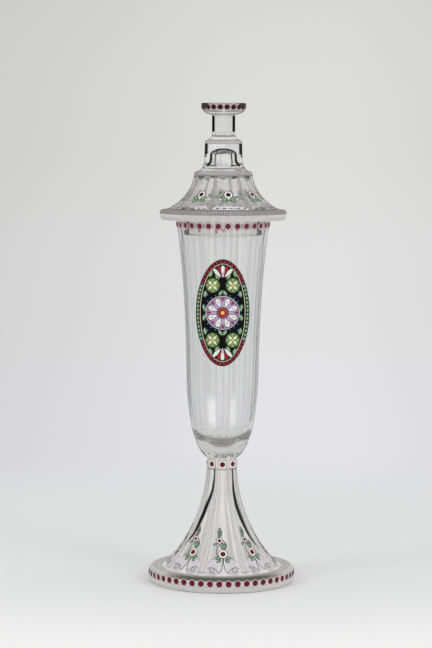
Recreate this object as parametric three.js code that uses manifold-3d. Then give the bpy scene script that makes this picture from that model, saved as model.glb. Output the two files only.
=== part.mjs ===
// Covered glass cup: a bell-shaped goblet on a hollow trumpet foot with eight panels, and a
// two-tier cover with a collar that drops into the mouth. Fired enamel dots, sprigs and an oval
// medallion lie on the glass. Millimetres, +Z up. The origin is the centre of the foot's
// underside, and the front, where the medallion is, faces -Y.
import * as THREE from "three";
import { mergeVertices } from "three/addons/utils/BufferGeometryUtils.js";
import Module from "manifold-3d";

const wasm = await Module();
wasm.setup();

// Panels and fineness
const panelCount = 8;
const stepsPerPanel = 4;
const roundSteps = panelCount * stepsPerPanel;
const smallSteps = panelCount * 3;
const panelAngle = (2 * Math.PI) / panelCount;

// Clearances
const meltGap = 0.1; // between two pieces of glass that are joined hot
const enamelGap = 0.25; // between the glass and the enamel on it
const coverGap = 0.1; // between the mouth and the cover that rests on it

// Foot plate
const footRadius = 54;
const footHeight = 11;
const footRounding = 2;
const footChamfer = 0.8;
const footHollowRadius = 38;

// Trumpet stem
const flareRadius = 43;
const trumpetHeight = 81.5;
const neckRadius = 10.8;
const neckLength = 2;
const neckHandle = 38.5; // how far the neck's straight line leads the curve
const flareHandleIn = 13;
const flareHandleUp = 9.5;
const footWall = 10;
const neckWall = 9.2;
const hollowTopDepth = 11; // solid glass between the hollow's top and the bowl
const hollowRounding = 9;
const footTurn = 2; // degrees that the panels stand turned from the front

// Bowl
const bowlHeight = 177;
const bowlBaseRadius = 11.4;
const waistRadius = 26.6;
const waistHeight = 55.5;
const mouthRadius = 34.8;
const bowlWall = 2;
const bowlBaseThickness = 9;
const bowlRounding = 21; // height over which the well's floor curves up into the wall
const lipChamfer = 0.5;

// Cover
const coverTurn = 8; // degrees that the cover stands turned on the cup
const coverPanelSink = 0.04; // share by which the cover's panels are pressed inwards
const brimRadius = 47;
const brimUnderRadius = 46.2;
const brimThickness = 7.2;
const brimWidestHeight = 4.6;
const brimRounding = 2.2;
const tierRadius = 43; // where the lower tier rises from the brim
const shoulderRadius = 21.6;
const shoulderHeight = 33;
const shoulderRounding = 2.8;
const turretRadius = 13.7;
const turretHeight = 58.6;
const turretRounding = 2;
const turretTopRadius = 10.8;
const turretTopHeight = 59.4;
const coveHeight = 9.5; // of the hollow curve between the shoulder and the turret
const coveFullness = 0.25; // share of that height at which the curve is bent
const coverWall = 2.4;
const turretWall = 7.4;
const wallGrowth = 7; // how far under the shoulder the wall starts to thicken
const fullWallShare = 0.65; // share of the cove's height at which the wall is at its thickest
const coverHollowHeight = 52.5;
const coverHollowRounding = 4.5;
const coverHollowWidestHeight = 14.5;
const collarRadius = 28.6;
const collarWall = 4;
const collarDepth = 11;
const collarChamfer = 0.6;

// Finial
const finialRadius = 8.5;
const finialHeight = 17.8;
const finialCove = 5.4;
const buttonRadius = 16.4;
const buttonHeight = 8.7;
const buttonWaist = 5; // height at which the button's side reaches nearly its full radius
const buttonRounding = 0.6;

// Enamel
const bandThickness = 0.25;
const dotRise = 0.35;
const footDotCount = 50;
const footDotRadius = 2.2;
const footDotHeight = 6.6;
const mouthDotCount = 30;
const mouthDotRadius = 2.1;
const mouthDotDrop = 3.8; // from the mouth down to the dots
const neckDotRadius = 2;
const neckDotDrop = 4.4; // from the top of the neck down to the dots
const buttonDotCount = 20;
const buttonDotRadius = 1.4;
const buttonDotDrop = 3.2; // from the top of the button down to the dots
const bandMargin = 0.5; // band that shows above and below its dots
const medallionHalfWidth = 19.6;
const medallionHalfHeight = 39.4;
const medallionDrop = 67; // from the mouth down to the medallion's centre
const medallionThickness = 0.4;
const sprigThickness = 0.4;
const stalkWidth = 0.9;
const footFlowerRadius = 3.4;
const footFlowerHeight = 25.3;
const footStalkBelow = 12;
const footStalkAbove = 9.5;
const footLeafLength = 6.2;
const coverFlowerRadius = 3;
const coverFlowerHeight = 18.8;
const coverStalkBelow = 4.8;
const coverLeafLength = 6.4;

// Heights of the joints
const bowlFoot = footHeight + trumpetHeight;
const mouthHeight = bowlFoot + bowlHeight;
const coverSeat = mouthHeight + coverGap;

const glass = new THREE.MeshStandardMaterial({
  color: 0xeef2f2, roughness: 0.03, metalness: 0, transparent: true, opacity: 0.35,
});
const rubyEnamel = new THREE.MeshStandardMaterial({ color: 0x8c1a2e, roughness: 0.25, metalness: 0 });
const blackEnamel = new THREE.MeshStandardMaterial({ color: 0x14161a, roughness: 0.2, metalness: 0 });
const leafEnamel = new THREE.MeshStandardMaterial({ color: 0x4e8f4a, roughness: 0.3, metalness: 0 });
const hatchEnamel = new THREE.MeshStandardMaterial({ color: 0xa8a19a, roughness: 0.6, metalness: 0 });

const point = (radius, height) => new THREE.Vector2(radius, height);
const mix = (from, to, share) => from + (to - from) * share;

// Points of a cubic curve through an outline, both ends included.
function cubic(start, leave, arrive, end, steps) {
  return new THREE.CubicBezierCurve(start, leave, arrive, end).getPoints(steps);
}

// Points of a curve that rounds the corner between two ends.
function corner(start, middle, end, steps = 3) {
  return new THREE.QuadraticBezierCurve(start, middle, end).getPoints(steps);
}

// Radius of an outline, which climbs from its first point to its last, at a height.
function radiusAt(outline, height) {
  const above = outline.findIndex((p) => p.y >= height);
  if (above < 0) return outline.at(-1).x;
  if (above === 0) return outline[0].x;
  const low = outline[above - 1];
  const high = outline[above];
  return mix(low.x, high.x, (height - low.y) / (high.y - low.y));
}

// How much further out a corner-sided surface lies than its flats, at an angle from a flat's middle.
function flatStretch(angle) {
  const fromFlat = angle - panelAngle * Math.round(angle / panelAngle);
  return 1 / Math.cos(fromFlat);
}

// Solid of revolution about Z from an outline that closes on itself or starts and ends on the axis.
// An outline point whose flat is 1 runs on eight flats, one whose flat is 0 on a circle.
function turned(outline, steps = roundSteps) {
  const geometry = new THREE.LatheGeometry(outline, steps);
  const places = geometry.getAttribute("position");
  for (let i = 0; i < places.count; i++) {
    const flat = outline[i % outline.length].flat ?? 0;
    const angle = Math.atan2(places.getX(i), places.getZ(i));
    const stretch = 1 + flat * (flatStretch(angle) - 1);
    places.setX(i, places.getX(i) * stretch);
    places.setZ(i, places.getZ(i) * stretch);
  }
  return geometry.rotateX(Math.PI / 2);
}

function closed(outline) {
  return [...outline, outline[0].clone()];
}

// Marks how far each point of an outline is pressed to the flats.
function pressed(outline, flatOf) {
  outline.forEach((p) => {
    p.flat = flatOf(p.y);
  });
  return outline;
}

function toSolid(geometry) {
  const bare = geometry.clone();
  bare.deleteAttribute("normal");
  bare.deleteAttribute("uv");
  const merged = mergeVertices(bare, 1e-4);
  return new wasm.Manifold(
    new wasm.Mesh({
      numProp: 3,
      vertProperties: merged.getAttribute("position").array,
      triVerts: new Uint32Array(merged.index.array),
    }),
  );
}

function toGeometry(solid) {
  const { numProp, vertProperties, triVerts } = solid.getMesh();
  const places = new Float32Array((vertProperties.length / numProp) * 3);
  for (let i = 0; i < places.length / 3; i++) {
    places.set(vertProperties.subarray(i * numProp, i * numProp + 3), i * 3);
  }
  const geometry = new THREE.BufferGeometry();
  geometry.setAttribute("position", new THREE.BufferAttribute(places, 3));
  geometry.setIndex(new THREE.BufferAttribute(new Uint32Array(triVerts), 1));
  geometry.computeVertexNormals();
  return geometry;
}

function joined(geometries) {
  const solids = geometries.map(toSolid);
  return toGeometry(solids.reduce((sum, next) => sum.add(next)));
}

function piece(name, geometry, material) {
  const mesh = new THREE.Mesh(geometry, material);
  mesh.name = name;
  return mesh;
}

// Outer outlines, from the bottom up

const trumpetOutline = [
  ...cubic(
    point(flareRadius, footHeight),
    point(flareRadius - flareHandleIn, footHeight + flareHandleUp),
    point(neckRadius, bowlFoot - neckLength - neckHandle),
    point(neckRadius, bowlFoot - neckLength),
    10,
  ),
  point(neckRadius, bowlFoot),
];

const bowlOutline = [
  ...cubic(
    point(bowlBaseRadius, bowlFoot),
    point(mix(bowlBaseRadius, waistRadius, 0.57), bowlFoot + 0.11 * waistHeight),
    point(mix(bowlBaseRadius, waistRadius, 0.895), bowlFoot + 0.44 * waistHeight),
    point(waistRadius, bowlFoot + waistHeight),
    7,
  ),
  ...cubic(
    point(waistRadius, bowlFoot + waistHeight),
    point(mix(waistRadius, mouthRadius, 0.07), mix(bowlFoot + waistHeight, mouthHeight, 0.3)),
    point(mix(waistRadius, mouthRadius, 0.2), mix(bowlFoot + waistHeight, mouthHeight, 0.66)),
    point(mouthRadius, mouthHeight),
    6,
  ).slice(1),
];

// The lower tier is on flats between the brim and its shoulder, where it turns round again.
function tierFlat(height) {
  const rise = THREE.MathUtils.smoothstep(height, brimThickness, brimThickness + 5);
  return rise * (1 - THREE.MathUtils.smoothstep(height, shoulderHeight - 4, shoulderHeight));
}

const tierOutline = cubic(
  point(tierRadius, brimThickness),
  point(mix(shoulderRadius, tierRadius, 0.53), mix(brimThickness, shoulderHeight, 0.15)),
  point(mix(shoulderRadius, tierRadius, 0.065), mix(brimThickness, shoulderHeight, 0.52)),
  point(shoulderRadius, shoulderHeight),
  7,
).map((p) => point(p.x * (1 - coverPanelSink * tierFlat(p.y)), p.y));

const coveFoot = point(shoulderRadius - shoulderRounding, shoulderHeight + shoulderRounding);
const turretOutline = [
  ...corner(point(shoulderRadius, shoulderHeight), point(shoulderRadius, coveFoot.y), coveFoot).slice(1),
  ...corner(
    coveFoot,
    point(turretRadius + 0.4, coveFoot.y + coveFullness * coveHeight),
    point(turretRadius + 0.4, coveFoot.y + coveHeight),
  ).slice(1),
  ...corner(
    point(turretRadius, turretHeight - turretRounding),
    point(turretRadius, turretHeight),
    point(turretRadius - turretRounding, turretHeight),
    2,
  ),
  point(turretTopRadius, turretTopHeight),
];

const brimSide = [
  point(brimUnderRadius - 0.8, 0),
  point(brimUnderRadius, 0.8),
  point(brimRadius, brimWidestHeight),
  ...corner(
    point(brimRadius - 0.1, brimThickness - brimRounding),
    point(brimRadius - 0.3, brimThickness),
    point(brimRadius - brimRounding, brimThickness),
    2,
  ),
];
const coverOutline = [...tierOutline, ...turretOutline];

// Glass of the cup

function footPlate() {
  return turned(
    closed([
      point(footHollowRadius, 0),
      point(footRadius - footChamfer, 0),
      point(footRadius, footChamfer),
      ...corner(
        point(footRadius, footHeight - footRounding),
        point(footRadius, footHeight),
        point(footRadius - footRounding, footHeight),
      ),
      point(footHollowRadius, footHeight),
    ]),
  );
}

// Round at the plate, and on flats from just above it up to the bowl.
const trumpetFlat = (height) => THREE.MathUtils.smoothstep(height, footHeight, footHeight + 2.5);

function trumpetHollowRadius(height) {
  const top = bowlFoot - hollowTopDepth;
  const climbed = (height - footHeight) / (top - footHeight);
  const wall = mix(footWall, neckWall, climbed);
  const intoCap = Math.max(0, (height - (top - hollowRounding)) / hollowRounding);
  return (radiusAt(trumpetOutline, height) - wall) * Math.sqrt(Math.max(0, 1 - intoCap * intoCap));
}

function trumpet() {
  const low = footHeight + meltGap;
  const high = bowlFoot - meltGap;
  const outside = pressed(
    trumpetOutline.map((p) => point(p.x, THREE.MathUtils.clamp(p.y, low, high))),
    trumpetFlat,
  );
  const top = bowlFoot - hollowTopDepth;
  const capFoot = top - hollowRounding;
  const capShares = [0, 0.4, 0.7, 0.9, 1];
  const climbs = [0, 0.06, 0.14, 0.24, 0.38, 0.54, 0.74];
  const hollow = [
    ...climbs.map((share) => mix(low, capFoot, share)),
    ...capShares.map((share) => capFoot + hollowRounding * share),
  ].map((height) => point(trumpetHollowRadius(height), height));
  return turned([...hollow.reverse(), ...outside, point(0, high)]);
}

function bowlWellRadius(height) {
  const floor = bowlFoot + bowlBaseThickness;
  const belowCap = Math.max(0, (floor + bowlRounding - height) / bowlRounding);
  return (radiusAt(bowlOutline, height) - bowlWall) * Math.sqrt(Math.max(0, 1 - belowCap * belowCap));
}

function bowl() {
  const low = bowlFoot + meltGap;
  const floor = bowlFoot + bowlBaseThickness;
  const wallTop = mouthHeight - lipChamfer;
  const outside = bowlOutline.slice(0, -1).map((p) => point(p.x, Math.max(p.y, low)));
  const floorShares = [0, 0.03, 0.12, 0.3, 0.6, 1];
  const wallShares = [0.15, 0.32, 0.5, 0.66, 0.82, 1];
  const well = [
    ...floorShares.map((share) => floor + bowlRounding * share),
    ...wallShares.map((share) => mix(floor + bowlRounding, wallTop, share)),
  ].map((height) => point(bowlWellRadius(height), height));
  return turned([
    point(0, low),
    ...outside,
    point(radiusAt(bowlOutline, wallTop), wallTop),
    point(mouthRadius - lipChamfer, mouthHeight),
    point(mouthRadius - bowlWall + lipChamfer, mouthHeight),
    ...well.reverse(),
  ]);
}

// Glass of the cover, in heights above the mouth

function coverHollowRadiusAt(height) {
  const fullWallHeight = coveFoot.y + fullWallShare * coveHeight;
  const thicker = THREE.MathUtils.smoothstep(height, shoulderHeight - wallGrowth, fullWallHeight);
  const intoCap = Math.max(0, (height - (coverHollowHeight - coverHollowRounding)) / coverHollowRounding);
  const wall = mix(coverWall, turretWall, thicker);
  return (radiusAt(coverOutline, height) - wall) * Math.sqrt(Math.max(0, 1 - intoCap * intoCap));
}

function coverDome() {
  const bore = collarRadius - collarWall;
  const widest = coverHollowWidestHeight;
  const capFoot = coverHollowHeight - coverHollowRounding;
  const tierShares = [0.25, 0.5, 0.75, 1];
  const turretShares = [0.25, 0.5, 1];
  const capShares = [0.45, 0.8, 1];
  const hollow = [
    point(bore, 0),
    ...corner(
      point(bore, collarChamfer + 1),
      point(coverHollowRadiusAt(widest), 0.4 * widest),
      point(coverHollowRadiusAt(widest), widest),
    ),
    ...[
      ...tierShares.map((share) => mix(widest, shoulderHeight, share)),
      ...turretShares.map((share) => mix(shoulderHeight, capFoot, share)),
      ...capShares.map((share) => capFoot + coverHollowRounding * share),
    ].map((height) => point(coverHollowRadiusAt(height), height)),
  ];
  const outside = [
    ...brimSide,
    ...pressed(coverOutline, tierFlat),
    point(0, turretTopHeight),
  ];
  return turned([...hollow.reverse(), ...outside]);
}

function coverCollar() {
  const inner = collarRadius - collarWall;
  return turned(
    closed([
      point(inner, -meltGap),
      point(inner, collarChamfer - collarDepth),
      point(inner + collarChamfer, -collarDepth),
      point(collarRadius - collarChamfer, -collarDepth),
      point(collarRadius, collarChamfer - collarDepth),
      point(collarRadius, -meltGap),
    ]),
  );
}

const finialFoot = turretTopHeight + meltGap;
const finialTop = turretTopHeight + finialHeight;
const buttonFoot = finialTop + meltGap;
const buttonTop = finialTop + buttonHeight;

function finialStem() {
  return turned(
    [
      point(0, finialFoot),
      ...corner(
        point(turretTopRadius, finialFoot),
        point(finialRadius, finialFoot + 0.3 * finialCove),
        point(finialRadius, finialFoot + finialCove),
      ),
      point(finialRadius, finialTop),
      point(0, finialTop),
    ],
    smallSteps,
  );
}

const buttonOutline = [
  ...cubic(
    point(finialRadius, buttonFoot),
    point(mix(finialRadius, buttonRadius, 0.55), buttonFoot + 0.12 * buttonWaist),
    point(mix(finialRadius, buttonRadius, 0.88), buttonFoot + 0.4 * buttonWaist),
    point(mix(finialRadius, buttonRadius, 0.95), buttonFoot + buttonWaist),
    4,
  ),
  point(buttonRadius, buttonTop - buttonRounding - 0.6),
  point(buttonRadius, buttonTop - buttonRounding),
];

function finialButton() {
  return turned(
    [
      point(0, buttonFoot),
      ...buttonOutline,
      point(buttonRadius - buttonRounding, buttonTop),
      point(0, buttonTop),
    ],
    smallSteps,
  );
}

// Enamel

// Points of a glass outline between two heights.
function runOf(outline, low, high, steps) {
  return Array.from({ length: steps + 1 }, (_, i) => {
    const height = mix(low, high, i / steps);
    return point(radiusAt(outline, height), height);
  });
}

// Outline of a thin layer that lies on the outer side of a run of outline points.
function layer(run, thickness = bandThickness) {
  const lifted = (lift) =>
    run.map((p, i) => {
      const before = run[Math.max(0, i - 1)];
      const after = run[Math.min(run.length - 1, i + 1)];
      const along = after.clone().sub(before).normalize();
      return point(p.x + along.y * lift, p.y - along.x * lift);
    });
  return closed([...lifted(enamelGap + thickness), ...lifted(enamelGap).reverse()]);
}

// How much nearer the axis a faceted ring lies, at an angle, than the circle through its corners.
function facetDepth(angle, steps) {
  const facet = (2 * Math.PI) / steps;
  const fromMiddle = angle - facet * (Math.floor(angle / facet) + 0.5);
  return 1 - Math.cos(facet / 2) / Math.cos(fromMiddle);
}

// Low round boss that stands square to its band, rooted in the band's thickness.
function dot({ outline, height, radius, flat, steps, sides }, angle) {
  const length = bandThickness / 2 + dotRise;
  const slope = radiusAt(outline, height + 0.5) - radiusAt(outline, height - 0.5);
  const surface = radiusAt(outline, height) * (flat ? 1 : 1 - facetDepth(angle, steps));
  const boss = new THREE.CylinderGeometry(0.7 * radius, radius, length, sides);
  boss.translate(0, enamelGap + bandThickness / 2 + length / 2, 0);
  boss.rotateX(-Math.atan(slope));
  boss.translate(0, surface, height);
  return boss.rotateZ(Math.PI + angle);
}

// Ring of dots on a band, centred at a height on a glass outline.
function dottedBand({ count, firstAngle, ...ring }) {
  const { outline, height, radius, flat = 0, steps = roundSteps, sides = 6 } = ring;
  const reach = radius + bandMargin;
  const band = layer(runOf(outline, height - reach, height + reach, 1));
  const dots = Array.from({ length: count }, (_, i) =>
    dot({ outline, height, radius, flat, steps, sides }, firstAngle + (i * 2 * Math.PI) / count),
  );
  return joined([turned(pressed(band, () => flat), steps), ...dots]);
}

const footSide = [point(footRadius, footChamfer), point(footRadius, footHeight - footRounding)];

const footDots = () =>
  dottedBand({
    outline: footSide,
    height: footDotHeight,
    count: footDotCount,
    radius: footDotRadius,
    firstAngle: THREE.MathUtils.degToRad(-1.6),
  });

const neckDots = () =>
  dottedBand({
    outline: trumpetOutline,
    height: bowlFoot - neckDotDrop,
    count: panelCount,
    radius: neckDotRadius,
    firstAngle: 0,
    flat: 1,
    steps: 2 * panelCount,
    sides: 8,
  });

const mouthDots = () =>
  dottedBand({
    outline: bowlOutline,
    height: mouthHeight - mouthDotDrop,
    count: mouthDotCount,
    radius: mouthDotRadius,
    firstAngle: Math.PI / mouthDotCount,
  });

const buttonDots = () =>
  dottedBand({
    outline: buttonOutline,
    height: buttonTop - buttonDotDrop,
    count: buttonDotCount,
    radius: buttonDotRadius,
    firstAngle: THREE.MathUtils.degToRad(1),
    steps: smallSteps,
  });

const brimBand = () => turned(layer(brimSide.slice(brimSide.findIndex((p) => p.y >= brimWidestHeight))));

// Oval plate that lies on the bowl's front: a band of the bowl's surface inside an upright oval.
function medallion() {
  const centre = mouthHeight - medallionDrop;
  const reach = medallionHalfHeight + 1;
  const run = runOf(bowlOutline, centre - reach, centre + reach, 10);
  const sleeve = turned(layer(run, medallionThickness));
  const oval = new THREE.CylinderGeometry(1, 1, mouthRadius, 36);
  oval.scale(medallionHalfWidth, 1, medallionHalfHeight);
  oval.translate(0, -mouthRadius, centre);
  return toGeometry(toSolid(sleeve).intersect(toSolid(oval)));
}

// Walks up an outline from a height by a distance: the point there and its outward normal.
function walk(outline, height, distance) {
  const step = 0.5;
  const count = Math.max(1, Math.ceil(Math.abs(distance) / step));
  let here = point(radiusAt(outline, height), height);
  let slope = point(0, 1);
  for (let i = 0; i < count; i++) {
    const ahead = here.y + 0.1;
    slope = point(radiusAt(outline, ahead) - radiusAt(outline, here.y), 0.1).normalize();
    here = here.clone().addScaledVector(slope, distance / count);
    here.x = radiusAt(outline, here.y);
  }
  return { here, normal: point(slope.y, -slope.x) };
}

function leafShape(length, turn) {
  const width = 0.42 * length;
  const tip = point(length * Math.cos(turn), length * Math.sin(turn));
  const side = point(-Math.sin(turn), Math.cos(turn)).multiplyScalar(width);
  const leaf = new THREE.Shape();
  leaf.moveTo(0, 0);
  leaf.quadraticCurveTo(tip.x / 2 + side.x, tip.y / 2 + side.y, tip.x, tip.y);
  leaf.quadraticCurveTo(tip.x / 2 - side.x, tip.y / 2 - side.y, 0, 0);
  return leaf;
}

// Upright stalk with a point every few millimetres, so that it can follow a curved panel.
function stalkShape(below, above) {
  const pieces = 3;
  const rungs = Array.from({ length: pieces + 1 }, (_, i) => mix(-below, above, i / pieces));
  return new THREE.Shape([
    ...rungs.map((y) => point(stalkWidth / 2, y)),
    ...rungs.reverse().map((y) => point(-stalkWidth / 2, y)),
  ]);
}

// A flower on its stalk with leaves, cut from a thin sheet and laid on a panel of an outline.
function sprig({ outline, height, flowerRadius, below, above, leaves, leafLength, turn }) {
  const extrude = (shape, dx = 0, dy = 0) =>
    new THREE.ExtrudeGeometry(shape, {
      depth: sprigThickness,
      bevelEnabled: false,
      curveSegments: 3,
    }).translate(dx, dy, 0);
  const flat = joined([
    new THREE.CylinderGeometry(flowerRadius, flowerRadius, sprigThickness, 8)
      .rotateX(Math.PI / 2)
      .translate(0, 0, sprigThickness / 2),
    extrude(stalkShape(below, above)),
    ...leaves.map(([lift, angle]) => extrude(leafShape(leafLength, angle), 0, lift)),
  ]);
  const places = flat.getAttribute("position");
  for (let i = 0; i < places.count; i++) {
    const across = places.getX(i);
    const lift = places.getZ(i) + enamelGap;
    const { here, normal } = walk(outline, height, places.getY(i));
    const out = here.x + normal.x * lift;
    places.setXYZ(i, across, -out, here.y + normal.y * lift);
  }
  flat.computeVertexNormals();
  return flat.rotateZ(turn);
}

const footLeaves = [
  [-3.2, -0.35],
  [-3.2, Math.PI + 0.35],
  [5, 0.9],
  [5, Math.PI - 0.9],
];
const coverLeaves = [
  [-4.6, 0.42],
  [-4.6, Math.PI - 0.42],
];

const footSprig = (index) =>
  sprig({
    outline: trumpetOutline,
    height: footFlowerHeight,
    flowerRadius: footFlowerRadius,
    below: footStalkBelow,
    above: footStalkAbove,
    leaves: footLeaves,
    leafLength: footLeafLength,
    turn: index * panelAngle,
  });

const coverSprig = (index) =>
  sprig({
    outline: coverOutline,
    height: coverFlowerHeight,
    flowerRadius: coverFlowerRadius,
    below: coverStalkBelow,
    above: coverFlowerRadius,
    leaves: coverLeaves,
    leafLength: coverLeafLength,
    turn: index * panelAngle,
  });

const footGroup = new THREE.Group();
footGroup.rotation.z = THREE.MathUtils.degToRad(footTurn);
footGroup.add(piece("foot_trumpet", trumpet(), glass));
footGroup.add(piece("neck_dots", neckDots(), rubyEnamel));
for (let index = 0; index < panelCount; index++) {
  footGroup.add(piece(`foot_sprig_${index + 1}`, footSprig(index), leafEnamel));
}

const cup = new THREE.Group();
cup.add(footGroup);
cup.add(piece("foot_plate", footPlate(), glass));
cup.add(piece("foot_rim_dots", footDots(), rubyEnamel));
cup.add(piece("bowl", bowl(), glass));
cup.add(piece("mouth_dots", mouthDots(), rubyEnamel));
cup.add(piece("medallion", medallion(), blackEnamel));

const cover = new THREE.Group();
cover.position.z = coverSeat;
cover.rotation.z = THREE.MathUtils.degToRad(coverTurn);
cover.add(piece("cover_dome", coverDome(), glass));
cover.add(piece("cover_collar", coverCollar(), glass));
cover.add(piece("finial_stem", finialStem(), glass));
cover.add(piece("finial_button", finialButton(), glass));
cover.add(piece("button_dots", buttonDots(), rubyEnamel));
cover.add(piece("brim_band", brimBand(), hatchEnamel));
for (let index = 0; index < panelCount; index++) {
  cover.add(piece(`cover_sprig_${index + 1}`, coverSprig(index), leafEnamel));
}

const coveredCup = new THREE.Group();
coveredCup.add(cup, cover);

export default coveredCup;
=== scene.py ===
import bpy
import math
import numpy as np
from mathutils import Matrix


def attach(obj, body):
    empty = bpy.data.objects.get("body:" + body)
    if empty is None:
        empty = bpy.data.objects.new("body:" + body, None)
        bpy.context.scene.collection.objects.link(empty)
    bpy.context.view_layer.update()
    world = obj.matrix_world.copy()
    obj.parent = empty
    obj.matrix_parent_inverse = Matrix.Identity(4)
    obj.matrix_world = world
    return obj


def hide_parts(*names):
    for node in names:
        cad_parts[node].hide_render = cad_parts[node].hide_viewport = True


# Covered glass cup: clear glass, matt grey layers and fired enamel. Lengths below are in
# millimetres and go into the meshes in metres. The front, with the medallion, faces -Y.
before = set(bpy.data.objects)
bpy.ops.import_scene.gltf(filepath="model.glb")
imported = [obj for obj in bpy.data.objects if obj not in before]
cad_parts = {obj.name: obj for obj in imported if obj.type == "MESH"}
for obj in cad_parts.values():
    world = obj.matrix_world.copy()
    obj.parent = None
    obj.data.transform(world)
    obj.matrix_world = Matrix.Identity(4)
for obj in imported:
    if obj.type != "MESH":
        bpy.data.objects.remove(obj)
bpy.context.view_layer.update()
mm = 0.001
panelCount = 8
panelAngle = 2 * math.pi / panelCount
quarterTurn = math.pi / 2
quarters = [(sx, sy) for sx in (-1, 1) for sy in (-1, 1)]
columns = 256  # points round a turned piece or a coat
cornerPower = 140  # the higher, the sharper the panels' corners
sunk = -0.03  # underside of an enamel shape, just inside the glass
justAbove = 0.01  # added to a height that points have to be past


def curve(points, count=24):
    # Bezier curve of any degree n: the sum over k of C(n, k) t^k (1 - t)^(n - k) p_k
    p = np.array(points, float)
    n = len(p) - 1
    t = np.linspace(0, 1, count)[:, None]
    return sum(math.comb(n, k) * t ** k * (1 - t) ** (n - k) * p[k] for k in range(n + 1))


def cornerRun(start, middle, end, steps=8):
    return curve([start, middle, end], steps + 1)


def rounded(x, z, across, up, steps=8):
    # the corner at (x, z), rounded off from its upright side to its level side
    return cornerRun((x, z + up), (x, z), (x + across, z), steps)


def mix(low, high, share):
    return low + (high - low) * share


def swung(low, high, handles, end=None, count=41):
    # curve from one outline point to another; its handles lie at shares of the way across and up
    points = [(mix(low[0], high[0], across), mix(low[1], high[1], up)) for across, up in handles]
    return curve([low, *points, end or high], count)


def smooth(low, high, value):
    # 3t^2 - 2t^3 between low and high
    t = np.clip((np.asarray(value, float) - low) / (high - low), 0, 1)
    return t * t * (3 - 2 * t)


def window(rise, fall, value):
    # 1 between a soft rise and a soft fall, 0 outside
    return smooth(*rise, value) * (1 - smooth(*fall, value))


def ringAngles(count, first=0.0):
    return first + np.arange(count) * 2 * math.pi / count


def fromPanel(angle):
    # angle to the middle of the nearest panel
    return np.abs((angle + panelAngle / 2) % panelAngle - panelAngle / 2)


def radiusAt(outline, height):
    return np.interp(height, outline[:, 1], outline[:, 0])


def spread(profile, pitch):
    # the same outline with points no further than pitch apart, its own corners kept
    out = [profile[:1]]
    for a, b in zip(profile[:-1], profile[1:]):
        count = max(1, int(math.ceil(np.linalg.norm(b - a) / pitch)))
        t = np.linspace(0, 1, count + 1)[1:, None]
        out.append(a + (b - a) * t)
    return np.vstack(out)


def eased(profile, passes=2):
    # every point moves halfway to the mean of its neighbours; the ends stay
    p = profile.copy()
    for _ in range(passes):
        p[1:-1] = 0.5 * p[1:-1] + 0.25 * (p[:-2] + p[2:])
    return p


# Outlines of the glass, with the solids' own sizes except for the well's floor, rounded tighter
foot = dict(radius=54, height=11, rounding=2, chamfer=0.8, sideTop=(8.4, 8.6), hollowRadius=38,
            # the crescent sizes place a painted dark crescent, painted shade, on the plate's edge
            hollowBend=(9, 4), hollowLip=1.2, crescentLow=8.5, crescentInner=50,
            crescentFade=(0.5, 0.88), bendIn=0.2)
trumpet = dict(flareRadius=43, height=81.5, neckRadius=10.8, neckLength=2, neckHandle=38.5,
               flareHandleIn=13, flareHandleUp=9.5, footWall=10, neckWall=9.2,
               hollowTopDepth=11, hollowRounding=9, hollowFoot=15, turn=2, flareRounding=1.5,
               roundNeck=(-0.6, 0.4), roundFoot=2.5, neckBlend=0.3)
bowl = dict(height=177, baseRadius=11.4, waistRadius=26.6, waistHeight=55.5, mouthRadius=34.8,
            lowHandles=((0.57, 0.11), (0.895, 0.44)), highHandles=((0.07, 0.3), (0.2, 0.66)), wall=2,
            baseThickness=9, rounding=14, lip=0.5, lipEdge=0.05, baseRing=5.5, baseSide=13, wellFloor=25,
            fluteCount=32, fluteDepth=0.05, fluteRise=(22, 40), fluteFall=(22, 12))
cover = dict(turn=8, panelSink=0.04, brimRadius=47, brimUnder=46.2, brimThickness=7.2, brimWidest=4.6,
             brimRounding=2.2, brimLean=(0.1, 0.3), brimChamfer=0.8, tierRadius=43,
             tierHandles=((0.47, 0.15), (0.935, 0.52)), roundFoot=5, roundTop=4, seatGap=0.1,
             shoulderRadius=21.6, shoulderHeight=33, shoulderRounding=2.8, turretRadius=13.7,
             turretDraft=0.4, turretHeight=58.6, turretRounding=2, turretTopRadius=10.8,
             turretTopHeight=59.4, coveHeight=9.5, coveFullness=0.25, wall=2.4, turretWall=7.4,
             wallGrowth=7, fullWallShare=0.65, hollowHeight=52.5, hollowRounding=4.5, hollowWidest=14.5,
             boreTop=1.6, boreBend=0.4, boreEnd=-0.2, coveEnd=0.8, lowEnd=3.2, turretHollowFrom=-7,
             collarRadius=28.6, collarWall=4, collarDepth=11, collarRounding=0.6)
finial = dict(radius=8.5, height=17.8, cove=5.4, coveShare=0.3, stemEnd=0.8, buttonRadius=16.4,
              buttonHeight=8.7, buttonWaist=5, buttonRounding=0.6,
              buttonHandles=((0.55, 0.12), (0.88, 0.4)), waistShare=0.95)

bowlFoot = foot["height"] + trumpet["height"]
mouthHeight = bowlFoot + bowl["height"]
coverSeat = mouthHeight + cover["seatGap"]


def footFlat(z):
    # 1 where the trumpet is pressed to panels, 0 where it is round
    return window((foot["height"], foot["height"] + trumpet["roundFoot"]),
                  [bowlFoot + h for h in trumpet["roundNeck"]], z)


def coverFlat(z):
    return window((cover["brimThickness"], cover["brimThickness"] + cover["roundFoot"]),
                  (cover["shoulderHeight"] - cover["roundTop"], cover["shoulderHeight"]), z)


def seatedFlat(z):
    return coverFlat(z - coverSeat)


def plainRound(z):
    return 0 * np.asarray(z, float)


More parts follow.
